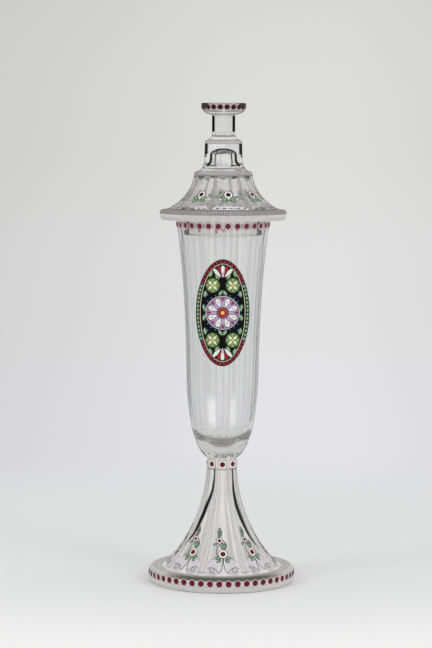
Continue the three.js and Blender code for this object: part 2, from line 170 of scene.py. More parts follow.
neckFoot = bowlFoot - trumpet["neckLength"]
trumpetOutline = np.vstack([
    curve([(trumpet["flareRadius"], foot["height"]),
           (trumpet["flareRadius"] - trumpet["flareHandleIn"],
            foot["height"] + trumpet["flareHandleUp"]),
           (trumpet["neckRadius"], neckFoot - trumpet["neckHandle"]),
           (trumpet["neckRadius"], neckFoot)], 61),
    [[trumpet["neckRadius"], bowlFoot]],
])
bowlBase = (bowl["baseRadius"], bowlFoot)
bowlWaist = (bowl["waistRadius"], bowlFoot + bowl["waistHeight"])
bowlMouth = (bowl["mouthRadius"], mouthHeight)
bowlOutline = np.vstack([swung(bowlBase, bowlWaist, bowl["lowHandles"]),
                         swung(bowlWaist, bowlMouth, bowl["highHandles"])[1:]])
tierFoot = (cover["tierRadius"], cover["brimThickness"])
tierTop = (cover["shoulderRadius"], cover["shoulderHeight"])
tierOutline = swung(tierFoot, tierTop, cover["tierHandles"])
tierOutline[:, 0] *= 1 - cover["panelSink"] * coverFlat(tierOutline[:, 1])
coveFoot = (tierTop[0] - cover["shoulderRounding"], tierTop[1] + cover["shoulderRounding"])
turretSide = (cover["turretRadius"] + cover["turretDraft"], coveFoot[1] + cover["coveHeight"])
coveMiddle = (turretSide[0], coveFoot[1] + cover["coveFullness"] * cover["coveHeight"])
turretEdge = -cover["turretRounding"]
turretOutline = np.vstack([
    cornerRun(tierTop, (tierTop[0], coveFoot[1]), coveFoot)[1:],
    cornerRun(coveFoot, coveMiddle, turretSide)[1:],
    rounded(cover["turretRadius"], cover["turretHeight"], turretEdge, turretEdge),
    [[cover["turretTopRadius"], cover["turretTopHeight"]]],
])
coverOutline = np.vstack([tierOutline, turretOutline])


def cappedHeights(capFoot, rounding, end, capCount, wallCount):
    # from the cap's tip to its foot, closer together towards the tip, and evenly on to the end
    lift = np.sin(np.linspace(quarterTurn, 0, capCount))
    return np.concatenate([capFoot + rounding * lift, np.linspace(capFoot, end, wallCount)[1:]])


def innerSide(outline, heights, wall, capFoot, rounding):
    # the outline less its wall, closed by an elliptic cap: r sqrt(1 - c^2), c from 0 to 1 up the cap
    cap = np.clip((heights - capFoot) / rounding, 0, 1)
    radii = (radiusAt(outline, heights) - wall) * np.sqrt(1 - cap ** 2)
    return np.column_stack([radii, heights])


def trumpetHollow():
    # its wall grows evenly with height
    top = bowlFoot - trumpet["hollowTopDepth"]
    capFoot = top - trumpet["hollowRounding"]
    heights = cappedHeights(capFoot, trumpet["hollowRounding"], trumpet["hollowFoot"], 20, 40)
    share = (heights - foot["height"]) / (top - foot["height"])
    wall = mix(trumpet["footWall"], trumpet["neckWall"], share)
    return innerSide(trumpetOutline, heights, wall, capFoot, trumpet["hollowRounding"])


def bowlWell():
    # from the lip down to the floor, which is a cap turned over
    capFoot = bowlFoot + bowl["baseThickness"] + bowl["rounding"]
    heights = cappedHeights(capFoot, -bowl["rounding"], mouthHeight - bowl["lip"], 32, 50)[::-1]
    return innerSide(bowlOutline, heights, bowl["wall"], capFoot, -bowl["rounding"])


def coverHollow():
    # heights above the mouth; the collar's bore opens through a curve into the dome
    capCount = 20
    bore = cover["collarRadius"] - cover["collarWall"]
    capFoot = cover["hollowHeight"] - cover["hollowRounding"]
    heights = cappedHeights(capFoot, cover["hollowRounding"], cover["hollowWidest"], capCount, 60)
    thicker = smooth(cover["shoulderHeight"] - cover["wallGrowth"],
                     coveFoot[1] + cover["fullWallShare"] * cover["coveHeight"], heights)
    wall = mix(cover["wall"], cover["turretWall"], thicker)
    side = innerSide(coverOutline, heights, wall, capFoot, cover["hollowRounding"])
    bend = (side[-1, 0], cover["boreBend"] * side[-1, 1])
    return np.vstack([side[:capCount], eased(side[capCount - 1:], 6)[1:],
                      cornerRun(side[-1], bend, (bore, cover["boreTop"]), 14)[1:]])


def panelStretch(angle):
    # an octagon's radius over its flats' distance, its corners slightly rounded by a power mean
    near = fromPanel(angle)
    first = np.cos(near)
    second = np.cos(panelAngle - near)
    return (first ** cornerPower + second ** cornerPower) ** (-1 / cornerPower)


def gridFaces(rows, columns, wrapRows=False):
    # squares between neighbouring rows and columns; the columns run round
    i = np.arange(rows if wrapRows else rows - 1)[:, None]
    j = np.arange(columns)[None, :]
    k = (j + 1) % columns
    n = (i + 1) % rows
    corners = (i * columns + j, i * columns + k, n * columns + k, n * columns + j)
    return np.stack(np.broadcast_arrays(*corners), -1).reshape(-1, 4)


def signedVolume(places, quads, triangles):
    # sum of the tetrahedra from the origin to each triangle
    total = 0.0
    for some, second in ((quads, 1), (quads, 2), (triangles, 1)):
        a, b, c = (places[some[:, corner]] for corner in (0, second, second + 1))
        total += np.einsum("ij,ij->i", a, np.cross(b, c)).sum()
    return total / 6


def closedShape(grid, poles, rim, lay):
    # many shapes at once, each a grid of rows and columns with a pole at each end; with no poles the
    # rows run round; rim and lay are values on the grid, which the finishes read
    count, rows, columns = grid.shape[:3]
    inside = rows * columns
    size = inside if poles is None else inside + 2
    places = grid.reshape(count, inside, 3)
    quads = gridFaces(rows, columns, poles is None)
    triangles = np.zeros((0, 3), int)
    if poles is not None:
        places = np.concatenate([places, poles], 1)
        j = np.arange(columns)
        k = (j + 1) % columns
        last = inside - columns
        triangles = np.vstack([np.column_stack([np.full(columns, inside), k, j]),
                               np.column_stack([np.full(columns, inside + 1), last + j, last + k])])
    offsets = (np.arange(count) * size)[:, None, None]
    quads = (quads[None] + offsets).reshape(-1, 4)
    triangles = (triangles[None] + offsets).reshape(-1, 3)
    places = places.reshape(-1, 3)
    if signedVolume(places, quads, triangles) < 0:
        quads, triangles = quads[:, ::-1], triangles[:, ::-1]

    def withPoles(values, width):
        values = values.reshape(count, rows, columns, width)
        parts = [values.reshape(count, inside, width)]
        if poles is not None:
            parts += [values[:, :1].mean(2), values[:, -1:].mean(2)]
        return np.concatenate(parts, 1).reshape(-1, width)

    return dict(places=places, quads=quads, triangles=triangles, rim=withPoles(rim, 1)[:, 0],
                lay=withPoles(lay, 3), zones=np.zeros(len(quads) + len(triangles), int))


def makePiece(name, layers, body, nodes):
    # layers are pairs of a shape in millimetres and its finish, or its list of finishes by zone
    start = 0
    places, faces, slots, rims, lays, names = [], [], [], [], [], []
    for shape, looks in layers:
        looks = [looks] if isinstance(looks, str) else looks
        names += [look for look in looks if look not in names]
        slots.append(np.array([names.index(look) for look in looks])[shape["zones"]])
        places.append(shape["places"])
        faces += (shape["quads"] + start).tolist() + (shape["triangles"] + start).tolist()
        rims.append(shape["rim"])
        lays.append(shape["lay"])
        start += len(shape["places"])
    mesh = bpy.data.meshes.new(name)
    mesh.from_pydata(np.vstack(places) * mm, [], faces)
    for look in names:
        mesh.materials.append(finishes[look])
    mesh.polygons.foreach_set("material_index", np.concatenate(slots).astype(np.int32))
    rim = mesh.attributes.new("rim", "FLOAT", "POINT")
    rim.data.foreach_set("value", np.concatenate(rims).astype(np.float32))
    lay = mesh.attributes.new("lay", "FLOAT_VECTOR", "POINT")
    lay.data.foreach_set("vector", np.vstack(lays).astype(np.float32).ravel())
    mesh.polygons.foreach_set("use_smooth", np.ones(len(mesh.polygons), bool))
    mesh.update()
    piece = bpy.data.objects.new(name, mesh)
    bpy.context.scene.collection.objects.link(piece)
    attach(piece, body)
    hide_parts(*nodes)


# Painted shade: dark lines on the two panels beside the front one, standing in for the hollow's edges
# seen dark through the glass. By height: how far out they run as a share of the panel's distance, their
# half width, and how far both are shifted to one side
shadeLineSizes = dict(heights=(27, 36, 47, 58, 69, 79), offsets=(0.36, 0.225, 0.127, 0.005, -0.139, -0.154),
             halves=(0.7, 1.1, 1.9, 1.9, 1.3, 0.8), shifts=(-0.07, -0.05, -0.05, -0.04, 0.06, 0.12),
             edge=(0.55, 1.35), rise=(22, 32), fall=(84, 90))
# Painted highlights: two soft bright patches low on the bowl's front, standing in for reflections of the
# softboxes, by height and by angle
highlightPatches = dict(heights=((108, 124), (134, 150)), left=((-0.6, -0.42), (-0.28, -0.12)),
               right=((0.12, 0.24), (0.3, 0.46)), rightShare=0.9)
# The veil: on panels, how much weaker it is in two bands beside the middle and where they lie; its
# strength on round glass
veil = dict(bands=0.35, rise=(0.15, 0.4), fall=(0.55, 0.8), even=0.6)


def paintedShadeLines(heights, radii, angles):
    # 1 along each line, which runs from the panel's inner side at the neck to its outer side below
    panel = np.round(angles / panelAngle)
    side = ((panel == 1) * 1.0 - (panel == panelCount - 1))[None, :]
    share = np.tan(angles - panel * panelAngle)[None, :]
    offset, half, shift = (np.interp(heights, shadeLineSizes["heights"], shadeLineSizes[k])[:, None]
                           for k in ("offsets", "halves", "shifts"))
    distance = np.abs(share - side * offset - shift) * radii[:, None]
    fade = window(shadeLineSizes["rise"], shadeLineSizes["fall"], heights)[:, None]
    return (1 - smooth(*shadeLineSizes["edge"], distance / half)) * fade * np.abs(side)


def paintedHighlightPatches(heights, angles):
    turned = (angles + math.pi) % (2 * math.pi) - math.pi
    sides = window(*highlightPatches["left"], turned) + highlightPatches["rightShare"] * window(*highlightPatches["right"], turned)
    return window(*highlightPatches["heights"], heights)[:, None] * sides[None, :]


def streaks(angles, pressed, striped):
    # how strong the veil is by angle; on the bowl in fine stripes of
    # 0.5 + 0.3 sin(41a + 2 sin 5a) + 0.2 sin(83a + 3 sin 3a), which show faintly on the panels too
    fine = 0.5 + 0.3 * np.sin(41 * angles + 2 * np.sin(5 * angles))
    fine = fine + 0.2 * np.sin(83 * angles + 3 * np.sin(3 * angles))
    bands = 1 - veil["bands"] * window(veil["rise"], veil["fall"], fromPanel(angles) / (panelAngle / 2))
    out = np.where(striped[:, None], fine[None, :], veil["even"])
    return np.where(pressed[:, None], (bands * (0.8 + 0.2 * fine))[None, :], out)


def turnedSolid(runs, flatOf, turn, waves=0.0):
    # runs are outline parts with their glass; an outline point by angle is x = r s sin(a),
    # y = -r s cos(a), with s the stretch to the panels' corners; the first and last are on the axis
    profile = np.vstack([run for run, _ in runs])
    looks = list(dict.fromkeys(look for _, look in runs))
    zone = np.concatenate([np.full(len(run), looks.index(look)) for run, look in runs])

    def where(*kinds):
        return np.concatenate([np.full(len(run), look in kinds) for run, look in runs])[1:-1]

    pressed = where("trumpetGlass", "coverGlass")
    fluted = where("wellGlass", "wellFloorGlass")
    striped = where("bowlGlass", "wellGlass")
    radii, heights = profile[1:-1].T
    angles = ringAngles(columns)
    depth = waves * fluted * window([bowlFoot + h for h in bowl["fluteRise"]],
                                    [mouthHeight - h for h in bowl["fluteFall"]], heights)
    flats = (flatOf(heights) * pressed)[:, None]
    reach = radii[:, None] * (1 + flats * (panelStretch(angles)[None, :] - 1))
    reach = reach + depth[:, None] * np.cos(angles * bowl["fluteCount"])[None, :]
    turned = angles + math.radians(turn)
    grid = np.stack([reach * np.sin(turned), -reach * np.cos(turned),
                     np.broadcast_to(heights[:, None], reach.shape)], -1)
    rim = paintedShadeLines(heights, radii, angles) * pressed[:, None]
    # painted shade: a dark crescent on the plate's edge, in front and behind
    shadeCrescent = (heights > foot["crescentLow"]) & (heights < foot["height"] + justAbove)
    shadeCrescent = shadeCrescent & (radii > foot["crescentInner"])
    fade = smooth(*foot["crescentFade"], np.abs(np.cos(angles)))
    rim = np.maximum(rim, fade[None, :] * shadeCrescent[:, None])
    # painted highlight patches on the bowl's outer glass, carried in rim
    rim += paintedHighlightPatches(heights, angles) * (striped & ~fluted)[:, None]
    lay = np.repeat(streaks(angles, pressed, striped)[..., None], 3, -1)
    poles = np.array([[[0, 0, profile[0, 1]], [0, 0, profile[-1, 1]]]])
    shape = closedShape(grid[None], poles, rim[None], lay[None])
    shape["zones"] = np.concatenate([np.repeat(zone[2:-1], columns), np.full(columns, zone[0]),
                                     np.full(columns, zone[-1])])
    return shape, looks


# Laying enamel on the glass

def makeLane(outline, flatOf, turn, base=0.0):
    # an outline with its lengths and outward normals, so that enamel can be laid along it
    fine = spread(outline, 0.4)
    lengths = np.concatenate([[0], np.cumsum(np.linalg.norm(np.diff(fine, axis=0), axis=1))])
    along = np.gradient(fine, lengths, axis=0)
    along /= np.linalg.norm(along, axis=1, keepdims=True)
    return dict(outline=fine, lengths=lengths, normals=np.column_stack([along[:, 1], -along[:, 0]]),
                flatOf=flatOf, turn=turn, base=base)


def lengthAt(lane, height):
    # length along the lane at the first point that is as high as this
    return lane["lengths"][int(np.argmax(lane["outline"][:, 1] >= height - 1e-9))]


def onGlass(lane, centre, across, along, lift, wrap="panel"):
    # the outline's point at a length, turned by centre + atan(across / r), or asin for artwork that is
    # drawn as seen from the front, and moved out by lift
    r, z = (np.interp(along, lane["lengths"], lane["outline"][:, k]) for k in (0, 1))
    nr, nz = (np.interp(along, lane["lengths"], lane["normals"][:, k]) for k in (0, 1))
    turn = np.arcsin(np.clip(across / r, -1, 1)) if wrap == "front" else np.arctan2(across, r)
    reach = r * (1 + lane["flatOf"](z) * (panelStretch(centre + turn) - 1)) + nr * lift
    angle = centre + turn + math.radians(lane["turn"])
    return np.stack([reach * np.sin(angle), -reach * np.cos(angle), z + nz * lift + lane["base"]], -1)


def laid(layers, lane, centre=0.0, wrap="panel", start=0.0, lift=0.0):
    # puts layers of local shapes (across, along, lift) on the glass, at one centre or at many
    centre = np.asarray(centre, float).reshape(-1, 1, 1)
    out = []
    for look, grid, poles, rim in layers:
        count = max(len(grid), centre.size)
        grid, rim = (np.broadcast_to(values, (count,) + values.shape[1:]) for values in (grid, rim))
        places = onGlass(lane, centre, grid[..., 0], grid[..., 1] + start, grid[..., 2] + lift, wrap)
        if poles is not None:
            p = np.broadcast_to(poles, (count,) + poles.shape[1:])
            poles = onGlass(lane, centre[:, :, 0], p[..., 0], p[..., 1] + start, p[..., 2] + lift, wrap)
        out.append((closedShape(places, poles, rim, grid), look))
    return out


def domes(look, loops, height, fullness=2.2, base=sunk, lift=0.0):
    # closed low domes over outlines: the outline shrinks to its middle by s while the height is
    # h(1 - s^k)
    loops = np.asarray(loops, float)
    loops = loops[None] if loops.ndim == 2 else loops
    middle = loops.mean(1)[:, None, None, :]
    shares = np.array([0.5, 1.0, 1.0, 0.92, 0.78, 0.55, 0.28])
    lifts = [base, base, 0.3 * height] + [height * (0.3 + 0.7 * (1 - s ** fullness)) for s in shares[3:]]
    lifts = np.array(lifts) + lift
    flat = middle + shares[None, :, None, None] * (loops[:, None] - middle)
    grid = np.concatenate([flat, np.broadcast_to(lifts[None, :, None, None], flat.shape[:3] + (1,))], -1)
    ends = np.concatenate([middle[:, 0, 0], middle[:, 0, 0]], -1).reshape(-1, 2, 2)
    tips = np.broadcast_to(np.array([base, height])[None, :, None] + lift, (len(loops), 2, 1))
    rim = np.broadcast_to(np.minimum(shares, 1)[None, :, None], flat.shape[:3])
    return look, grid, np.concatenate([ends, tips], -1), rim


def strokes(look, paths, width, height, sides=6, fullness=1.0, base=sunk, loop=False):
    # ribbons with a rounded top along paths: across = w/2 cos(q), lift = h sin(q)^k; a loop closes on
    # itself
    paths = np.asarray(paths, float)
    paths = paths[None] if paths.ndim == 2 else paths
    along = np.gradient(paths, axis=1)
    if loop:
        along = np.roll(paths, -1, 1) - np.roll(paths, 1, 1)
    along /= np.maximum(np.linalg.norm(along, axis=-1, keepdims=True), 1e-9)
    normal = np.stack([-along[..., 1], along[..., 0]], -1)
    q = ringAngles(sides)
    half = 0.5 * np.broadcast_to(np.asarray(width, float), paths.shape[:2])
    flat = paths[:, :, None, :] + normal[:, :, None, :] * (half[:, :, None] * np.cos(q))[..., None]
    rise = np.abs(np.sin(q))
    up = np.where(np.sin(q) > 1e-6, height * rise ** fullness, base * rise ** 0.3)
    grid = np.concatenate([flat, np.broadcast_to(up[None, None, :, None], flat.shape[:3] + (1,))], -1)
    rim = np.broadcast_to(np.abs(np.cos(q))[None, None, :], flat.shape[:3])
    ends = np.stack([paths[:, 0], paths[:, -1]], 1)
    ends = np.concatenate([ends, np.full(ends.shape[:2] + (1,), 0.5 * height)], -1)
    return look, grid, None if loop else ends, rim


def ringLayer(look, lane, low, high, height, steps=8):
    # a thin coat all round: its section is the run of lane points, lifted by h sin(q)^0.4, and back
    # under the glass
    t = np.linspace(0, 1, steps + 1)
    runs = np.concatenate([mix(low, high, t), mix(high, low, t[1:-1])])
    lifts = sunk + (height - sunk) * np.sin(math.pi * t) ** 0.4
    lifts = np.concatenate([lifts, np.full(steps - 1, sunk)])
    angles = ringAngles(columns)
    along = np.broadcast_to(runs[:, None], (len(runs), columns))
    places = onGlass(lane, angles[None, :], 0 * along, along, lifts[:, None])
    share = np.abs(2 * (runs - low) / (high - low) - 1)[:, None] + 0 * along
    middle = np.interp(mix(low, high, 0.5), lane["lengths"], lane["outline"][:, 0])
    lay = np.stack([angles[None, :] * middle + 0 * along, along - low, share], -1)
    return closedShape(places[None], None, share[None], lay[None]), look


def tilted(p, x, y, tilt):
    turn = np.array([[math.cos(tilt), math.sin(tilt)], [-math.sin(tilt), math.cos(tilt)]])
    return p @ turn + [x, y]


def oval(x, y, a, b=None, tilt=0.0, count=20):
    # x + a cos(t), y + b sin(t)
    t = ringAngles(count)
    return tilted(np.column_stack([a * np.cos(t), (b or a) * np.sin(t)]), x, y, tilt)


def petal(x, y, length, width, tilt, point=1.0, ends=1):
    # from a point: along L(1 - cos t)/2, across W/2 sin(t) |sin(e t/2)|^k, so k sets how slim its root
    # is, and e how many ends are pointed
    t = ringAngles(20)
    side = 0.5 * width * np.sin(t) * np.abs(np.sin(ends * t / 2)) ** point
    return tilted(np.column_stack([length * (1 - np.cos(t)) / 2, side]), x, y, tilt)


def leaf(x, y, length, width, tilt):
    # pointed at both ends
    return petal(x, y, length, width, tilt, 0.6, 2)


def mirrored(paths):
    return [np.array(p) * [-1, 1] for p in paths]


def resampled(path, count):
    # the same path with another number of points
    old, new = np.linspace(0, 1, len(path)), np.linspace(0, 1, count)
    return np.column_stack([np.interp(new, old, path[:, k]) for k in (0, 1)])


# Materials

def tone(red, green, blue):
    # a screen colour from 0 to 255 as the linear values that shaders take
    c = np.array([red, green, blue]) / 255
    return (*np.where(c <= 0.04045, c / 12.92, ((c + 0.055) / 1.055) ** 2.4).tolist(), 1.0)


def wire(tree, node, inputs):
    # each input is linked to another node's output, or set to a plain value
    for title, value in inputs.items():
        if isinstance(value, bpy.types.NodeSocket):
            tree.links.new(value, node.inputs[title])
        else:
            node.inputs[title].default_value = value
    return node


def addNode(tree, kind, inputs=None, **settings):
    node = tree.nodes.new("ShaderNode" + kind)
    for title, value in settings.items():
        setattr(node, title, value)
    return wire(tree, node, inputs or {})


def mathNode(tree, operation, *values, clamp=False):
    node = addNode(tree, "Math", dict(enumerate(values)), operation=operation, use_clamp=clamp)
    return node.outputs[0]


def times(tree, first, second):
    return mathNode(tree, "MULTIPLY", first, second)


def less(tree, first, second, clamp=False):
    return mathNode(tree, "SUBTRACT", first, second, clamp=clamp)


def ranged(tree, value, low, high, first=0.0, second=1.0):
    # a value between low and high as one between first and second, eased at both ends
    inputs = {"Value": value, "From Min": low, "From Max": high, "To Min": first, "To Max": second}
    return addNode(tree, "MapRange", inputs, interpolation_type="SMOOTHSTEP").outputs["Result"]


def mixedColour(tree, factor, first, second, **settings):
    inputs = {"Factor": factor, 6: first, 7: second}
    return addNode(tree, "Mix", inputs, data_type="RGBA", **settings).outputs[2]


def attribute(tree, name, output="Fac"):
    return addNode(tree, "Attribute", attribute_name=name).outputs[output]


def grainOf(tree, scale, detail=2.0):
    place = addNode(tree, "TexCoord").outputs["Object"]
    return addNode(tree, "TexNoise", {"Vector": place, "Scale": scale, "Detail": detail}).outputs["Fac"]


def bumped(tree, shader, height, strength, distance):
    bump = addNode(tree, "Bump", {"Height": height, "Strength": strength, "Distance": distance})
    wire(tree, shader, {"Normal": bump.outputs["Normal"]})


def mixedSurface(tree, share, first, second):
    both = addNode(tree, "MixShader", {0: share, 1: first.outputs[0], 2: second.outputs[0]})
    wire(tree, tree.nodes["Material Output"], {"Surface": both.outputs[0]})


def newMaterial(name):
    material = bpy.data.materials.new(name)
    material.use_nodes = True
    return material, material.node_tree, material.node_tree.nodes["Principled BSDF"]


def newGroup(name, inputs, outputs):
    # a shader node group; an input with a colour for its value is a colour, and so is a Colour output
    kinds = ("NodeSocketFloat", "NodeSocketColor")
    tree = bpy.data.node_groups.new(name, "ShaderNodeTree")
    for title, value in inputs:
        kind = kinds[isinstance(value, tuple)]
        tree.interface.new_socket(title, in_out="INPUT", socket_type=kind).default_value = value
    for title in outputs:
        tree.interface.new_socket(title, in_out="OUTPUT", socket_type=kinds[title == "Colour"])
    return tree, tree.nodes.new("NodeGroupInput").outputs, tree.nodes.new("NodeGroupOutput")


def makeFiredTone():
    # fired enamel: its colour shifts towards the rim and mottles a little, and its surface is uneven
    tree, given, out = newGroup("firedTone", [
        ("Colour", (0.5, 0.5, 0.5, 1)), ("Rim Colour", (0.3, 0.3, 0.3, 1)), ("Rim From", 0.6),
        ("Mottle", 0.15), ("Grain", 900.0),
    ], ["Colour", "Roughness", "Height"])
    grain = grainOf(tree, given["Grain"], 3.0)
    edge = ranged(tree, attribute(tree, "rim"), given["Rim From"], 1.0)
    share = mathNode(tree, "ADD", edge, times(tree, less(tree, grain, 0.5), given["Mottle"]))
    wire(tree, out, {"Colour": mixedColour(tree, share, given["Colour"], given["Rim Colour"]),
                     "Roughness": ranged(tree, grain, 0.3, 0.75, 0.14, 0.34),
                     "Height": grain})
    return tree


def makeHatch():
    # fine parallel lines across a matt coat, worn away in grains; puts out a mask of the lines
    tree, given, out = newGroup("hatchMask", [("Pitch", 0.9), ("Worn", 0.4), ("Cross", 0.0)],
                                ["Mask", "Grain"])
    parts = addNode(tree, "SeparateXYZ", {0: attribute(tree, "lay", "Vector")}).outputs

    def lines(value):
        wave = mathNode(tree, "PINGPONG", mathNode(tree, "DIVIDE", value, given["Pitch"]), 0.5)
        return ranged(tree, wave, 0.1, 0.4)

    grain = ranged(tree, grainOf(tree, 1500.0, 4.0), 0.35, 0.65)
    crossed = times(tree, lines(parts["Y"]), given["Cross"])
    both = mathNode(tree, "MAXIMUM", lines(parts["X"]), crossed)
    worn = times(tree, less(tree, 1.0, grain), given["Worn"])
    wire(tree, out, {"Mask": less(tree, both, worn, clamp=True), "Grain": grain})
    return tree


firedTone = makeFiredTone()
hatchMask = makeHatch()


def firedEnamel(name, colour, rimColour, rimFrom=0.6, mottle=0.3, gloss=0.4, alpha=1.0):
    material, tree, shader = newMaterial(name)
    fired = addNode(tree, "Group", {"Colour": tone(*colour), "Rim Colour": tone(*rimColour),
                                    "Rim From": rimFrom, "Mottle": mottle}, node_tree=firedTone).outputs
    wire(tree, shader, {"Base Color": fired["Colour"], "Roughness": fired["Roughness"], "Alpha": alpha,
                        "Specular IOR Level": gloss})
    bumped(tree, shader, fired["Height"], 0.25, 0.0001)
    return material


def mattCoat(name, pitch, worn, cross, ground, line, thin, thick):
    material, tree, shader = newMaterial(name)
    hatch = addNode(tree, "Group", {"Pitch": pitch, "Worn": worn, "Cross": cross},
                    node_tree=hatchMask).outputs
    wire(tree, shader, {"Base Color": mixedColour(tree, hatch["Mask"], tone(*ground), tone(*line)),
                        "Alpha": ranged(tree, hatch["Mask"], 0.0, 1.0, thin, thick),
                        "Roughness": ranged(tree, hatch["Grain"], 0.0, 1.0, 0.5, 0.75)})
    bumped(tree, shader, hatch["Mask"], 0.4, 0.00015)
    return material


def clearGlass(name, look):
    # clear glass with a faint waviness; a share of it is a pale veil, with painted highlights in the
    # bowl's soft patches, and towards its edges and along the painted lines a share turns dark, painted
    # shade for the dark edges of thick glass
    look = {**plainLook, **look}
    material, tree, shader = newMaterial(name)
    wire(tree, shader, {"Transmission Weight": 1.0, "IOR": look["refraction"], "Roughness": 0.0,
                        "Base Color": look["colour"]})
    bumped(tree, shader, grainOf(tree, look["waveScale"], 1.0), look["waveStrength"], 0.001)
    if look["edge"][2] or look["veil"]:
        # painted shade: a dark share by how far the glass turns away, and along the painted lines
        facing = addNode(tree, "LayerWeight").outputs["Facing"]
        low, high, most = look["edge"]
        edge = ranged(tree, facing, low, high, 0.0, most)
        if look["lineShade"]:
            low, high, most = look["lineShade"]
            turned = ranged(tree, facing, low, high, 0.0, most)
            edge = mathNode(tree, "MAXIMUM", edge, times(tree, attribute(tree, "rim"), turned))
        pale = times(tree, attribute(tree, "lay"), look["veil"])
        paleColour = tone(*look["veilTone"])
        if look["speckle"]:
            pale = times(tree, pale, ranged(tree, grainOf(tree, look["speckle"]), 0.45, 0.6))
        # painted highlight: the veil turns white in the bowl's soft patches
        if look["paintedHighlight"]:
            highlightPatch = attribute(tree, "rim")
            pale = mathNode(tree, "MAXIMUM", pale, times(tree, highlightPatch, look["paintedHighlight"]))
            paleColour = mixedColour(tree, highlightPatch, paleColour, tone(255, 255, 255))
        share = less(tree, 1.0, times(tree, less(tree, 1.0, edge), less(tree, 1.0, pale)))
        darker = mathNode(tree, "DIVIDE", edge, share)
        solidColour = mixedColour(tree, darker, paleColour, tone(*look["edgeShadeTone"]))
        solid = addNode(tree, "BsdfPrincipled", {"Roughness": 0.4, "Specular IOR Level": 0.0,
                                                 "Base Color": solidColour})
        mixedSurface(tree, share, shader, solid)
    return material


# Clear glass: edge and lineShade are where the dark share of painted shade starts and ends by how much
# the glass is turned away, and the most of it; veil is the pale share, painted shade where its tone is
# dark; paintedHighlight is the painted highlight's strength; tones are screen colours
plainLook = dict(edge=(0.9, 1.0, 0.0), edgeShadeTone=(40, 42, 42), colour=(1.0, 1.0, 1.0, 1), waveScale=60,
                 waveStrength=0.02, refraction=1.5, veil=0.0, veilTone=(248, 247, 246), lineShade=None,
                 paintedHighlight=0.0, speckle=0)
glasses = {
    "plainGlass": dict(),
    "plateGlass": dict(edge=(0.9, 1.0, 0.35), refraction=1.2, veil=1.0, veilTone=(255, 253, 252)),
    # painted shade: the grey-green crescent on the plate's top edge
    "plateTopGlass": dict(edge=(0.9, 1.0, 0.35), edgeShadeTone=(76, 82, 74), refraction=1.2, veil=0.8,
                          veilTone=(250, 247, 246), lineShade=(1.0, 0.9, 0.92)),
    "trumpetGlass": dict(edge=(0.88, 1.0, 0.35), edgeShadeTone=(8, 8, 8), refraction=1.25, veil=0.8,
                         lineShade=(0.1, 0.2, 0.98)),
    "trumpetHollowGlass": dict(refraction=1.25, veil=0.15),
    "bowlGlass": dict(edge=(0.78, 0.98, 0.6), refraction=1.35, veil=0.26, veilTone=(196, 198, 196),
                      paintedHighlight=0.75),
    "wellGlass": dict(edge=(0.6, 0.84, 0.92), edgeShadeTone=(34, 36, 36), refraction=1.35, veil=0.1,
                      veilTone=(190, 192, 190)),
    "wellFloorGlass": dict(edge=(0.8, 0.97, 0.5), refraction=1.35, veil=0.25),
    # painted shade: a dark mottled veil on the bowl's thick base
    "baseGlass": dict(edge=(0.6, 0.92, 0.8), refraction=1.35, veil=0.9, veilTone=(96, 98, 94),
                      speckle=330),
    "baseSideGlass": dict(edge=(0.66, 0.94, 0.75), refraction=1.35, veil=0.24, veilTone=(252, 252, 250)),
    "brimGlass": dict(edge=(0.9, 1.0, 0.3), refraction=1.2, veil=1.0, veilTone=(240, 238, 236)),
    "coverGlass": dict(edge=(0.84, 1.0, 0.6), refraction=1.15, veil=0.16, veilTone=(250, 250, 248)),
    "coverHollowGlass": dict(edge=(0.88, 0.98, 0.5), refraction=1.15, veil=0.05),
    "coveGlass": dict(edge=(0.7, 0.95, 0.6)),
    # painted shade: strong dark shares paint the black bars of the turret, stem, button and collar
    "turretLowGlass": dict(edge=(0.46, 0.66, 0.85), edgeShadeTone=(16, 16, 16)),
    "turretGlass": dict(edge=(0.38, 0.5, 0.97), edgeShadeTone=(12, 12, 12)),
    "turretHollowGlass": dict(edge=(0.36, 0.48, 1.0), edgeShadeTone=(4, 4, 4)),
    # painted shade: a dark speckled veil on the hollow's cap
    "capGlass": dict(edge=(0.2, 0.65, 0.9), edgeShadeTone=(16, 16, 16), waveScale=420, waveStrength=0.8,
                     veil=1.5, veilTone=(24, 24, 24), speckle=1300),
    "stemFootGlass": dict(edge=(0.7, 0.95, 0.5), veil=0.5, veilTone=(225, 225, 223)),
    "stemGlass": dict(edge=(0.3, 0.42, 1.0), edgeShadeTone=(4, 4, 4), veil=0.5, veilTone=(250, 250, 250)),
    "buttonGlass": dict(edge=(0.24, 0.34, 0.92), edgeShadeTone=(36, 26, 28), colour=(0.9, 0.82, 0.83, 1),
                        veil=0.7, veilTone=(214, 186, 190)),
    "buttonUnderGlass": dict(edge=(0.5, 0.9, 0.7), edgeShadeTone=(60, 58, 58), veil=0.5),
    "collarGlass": dict(edge=(0.48, 0.58, 1.0), edgeShadeTone=(8, 8, 8), refraction=1.15),
}

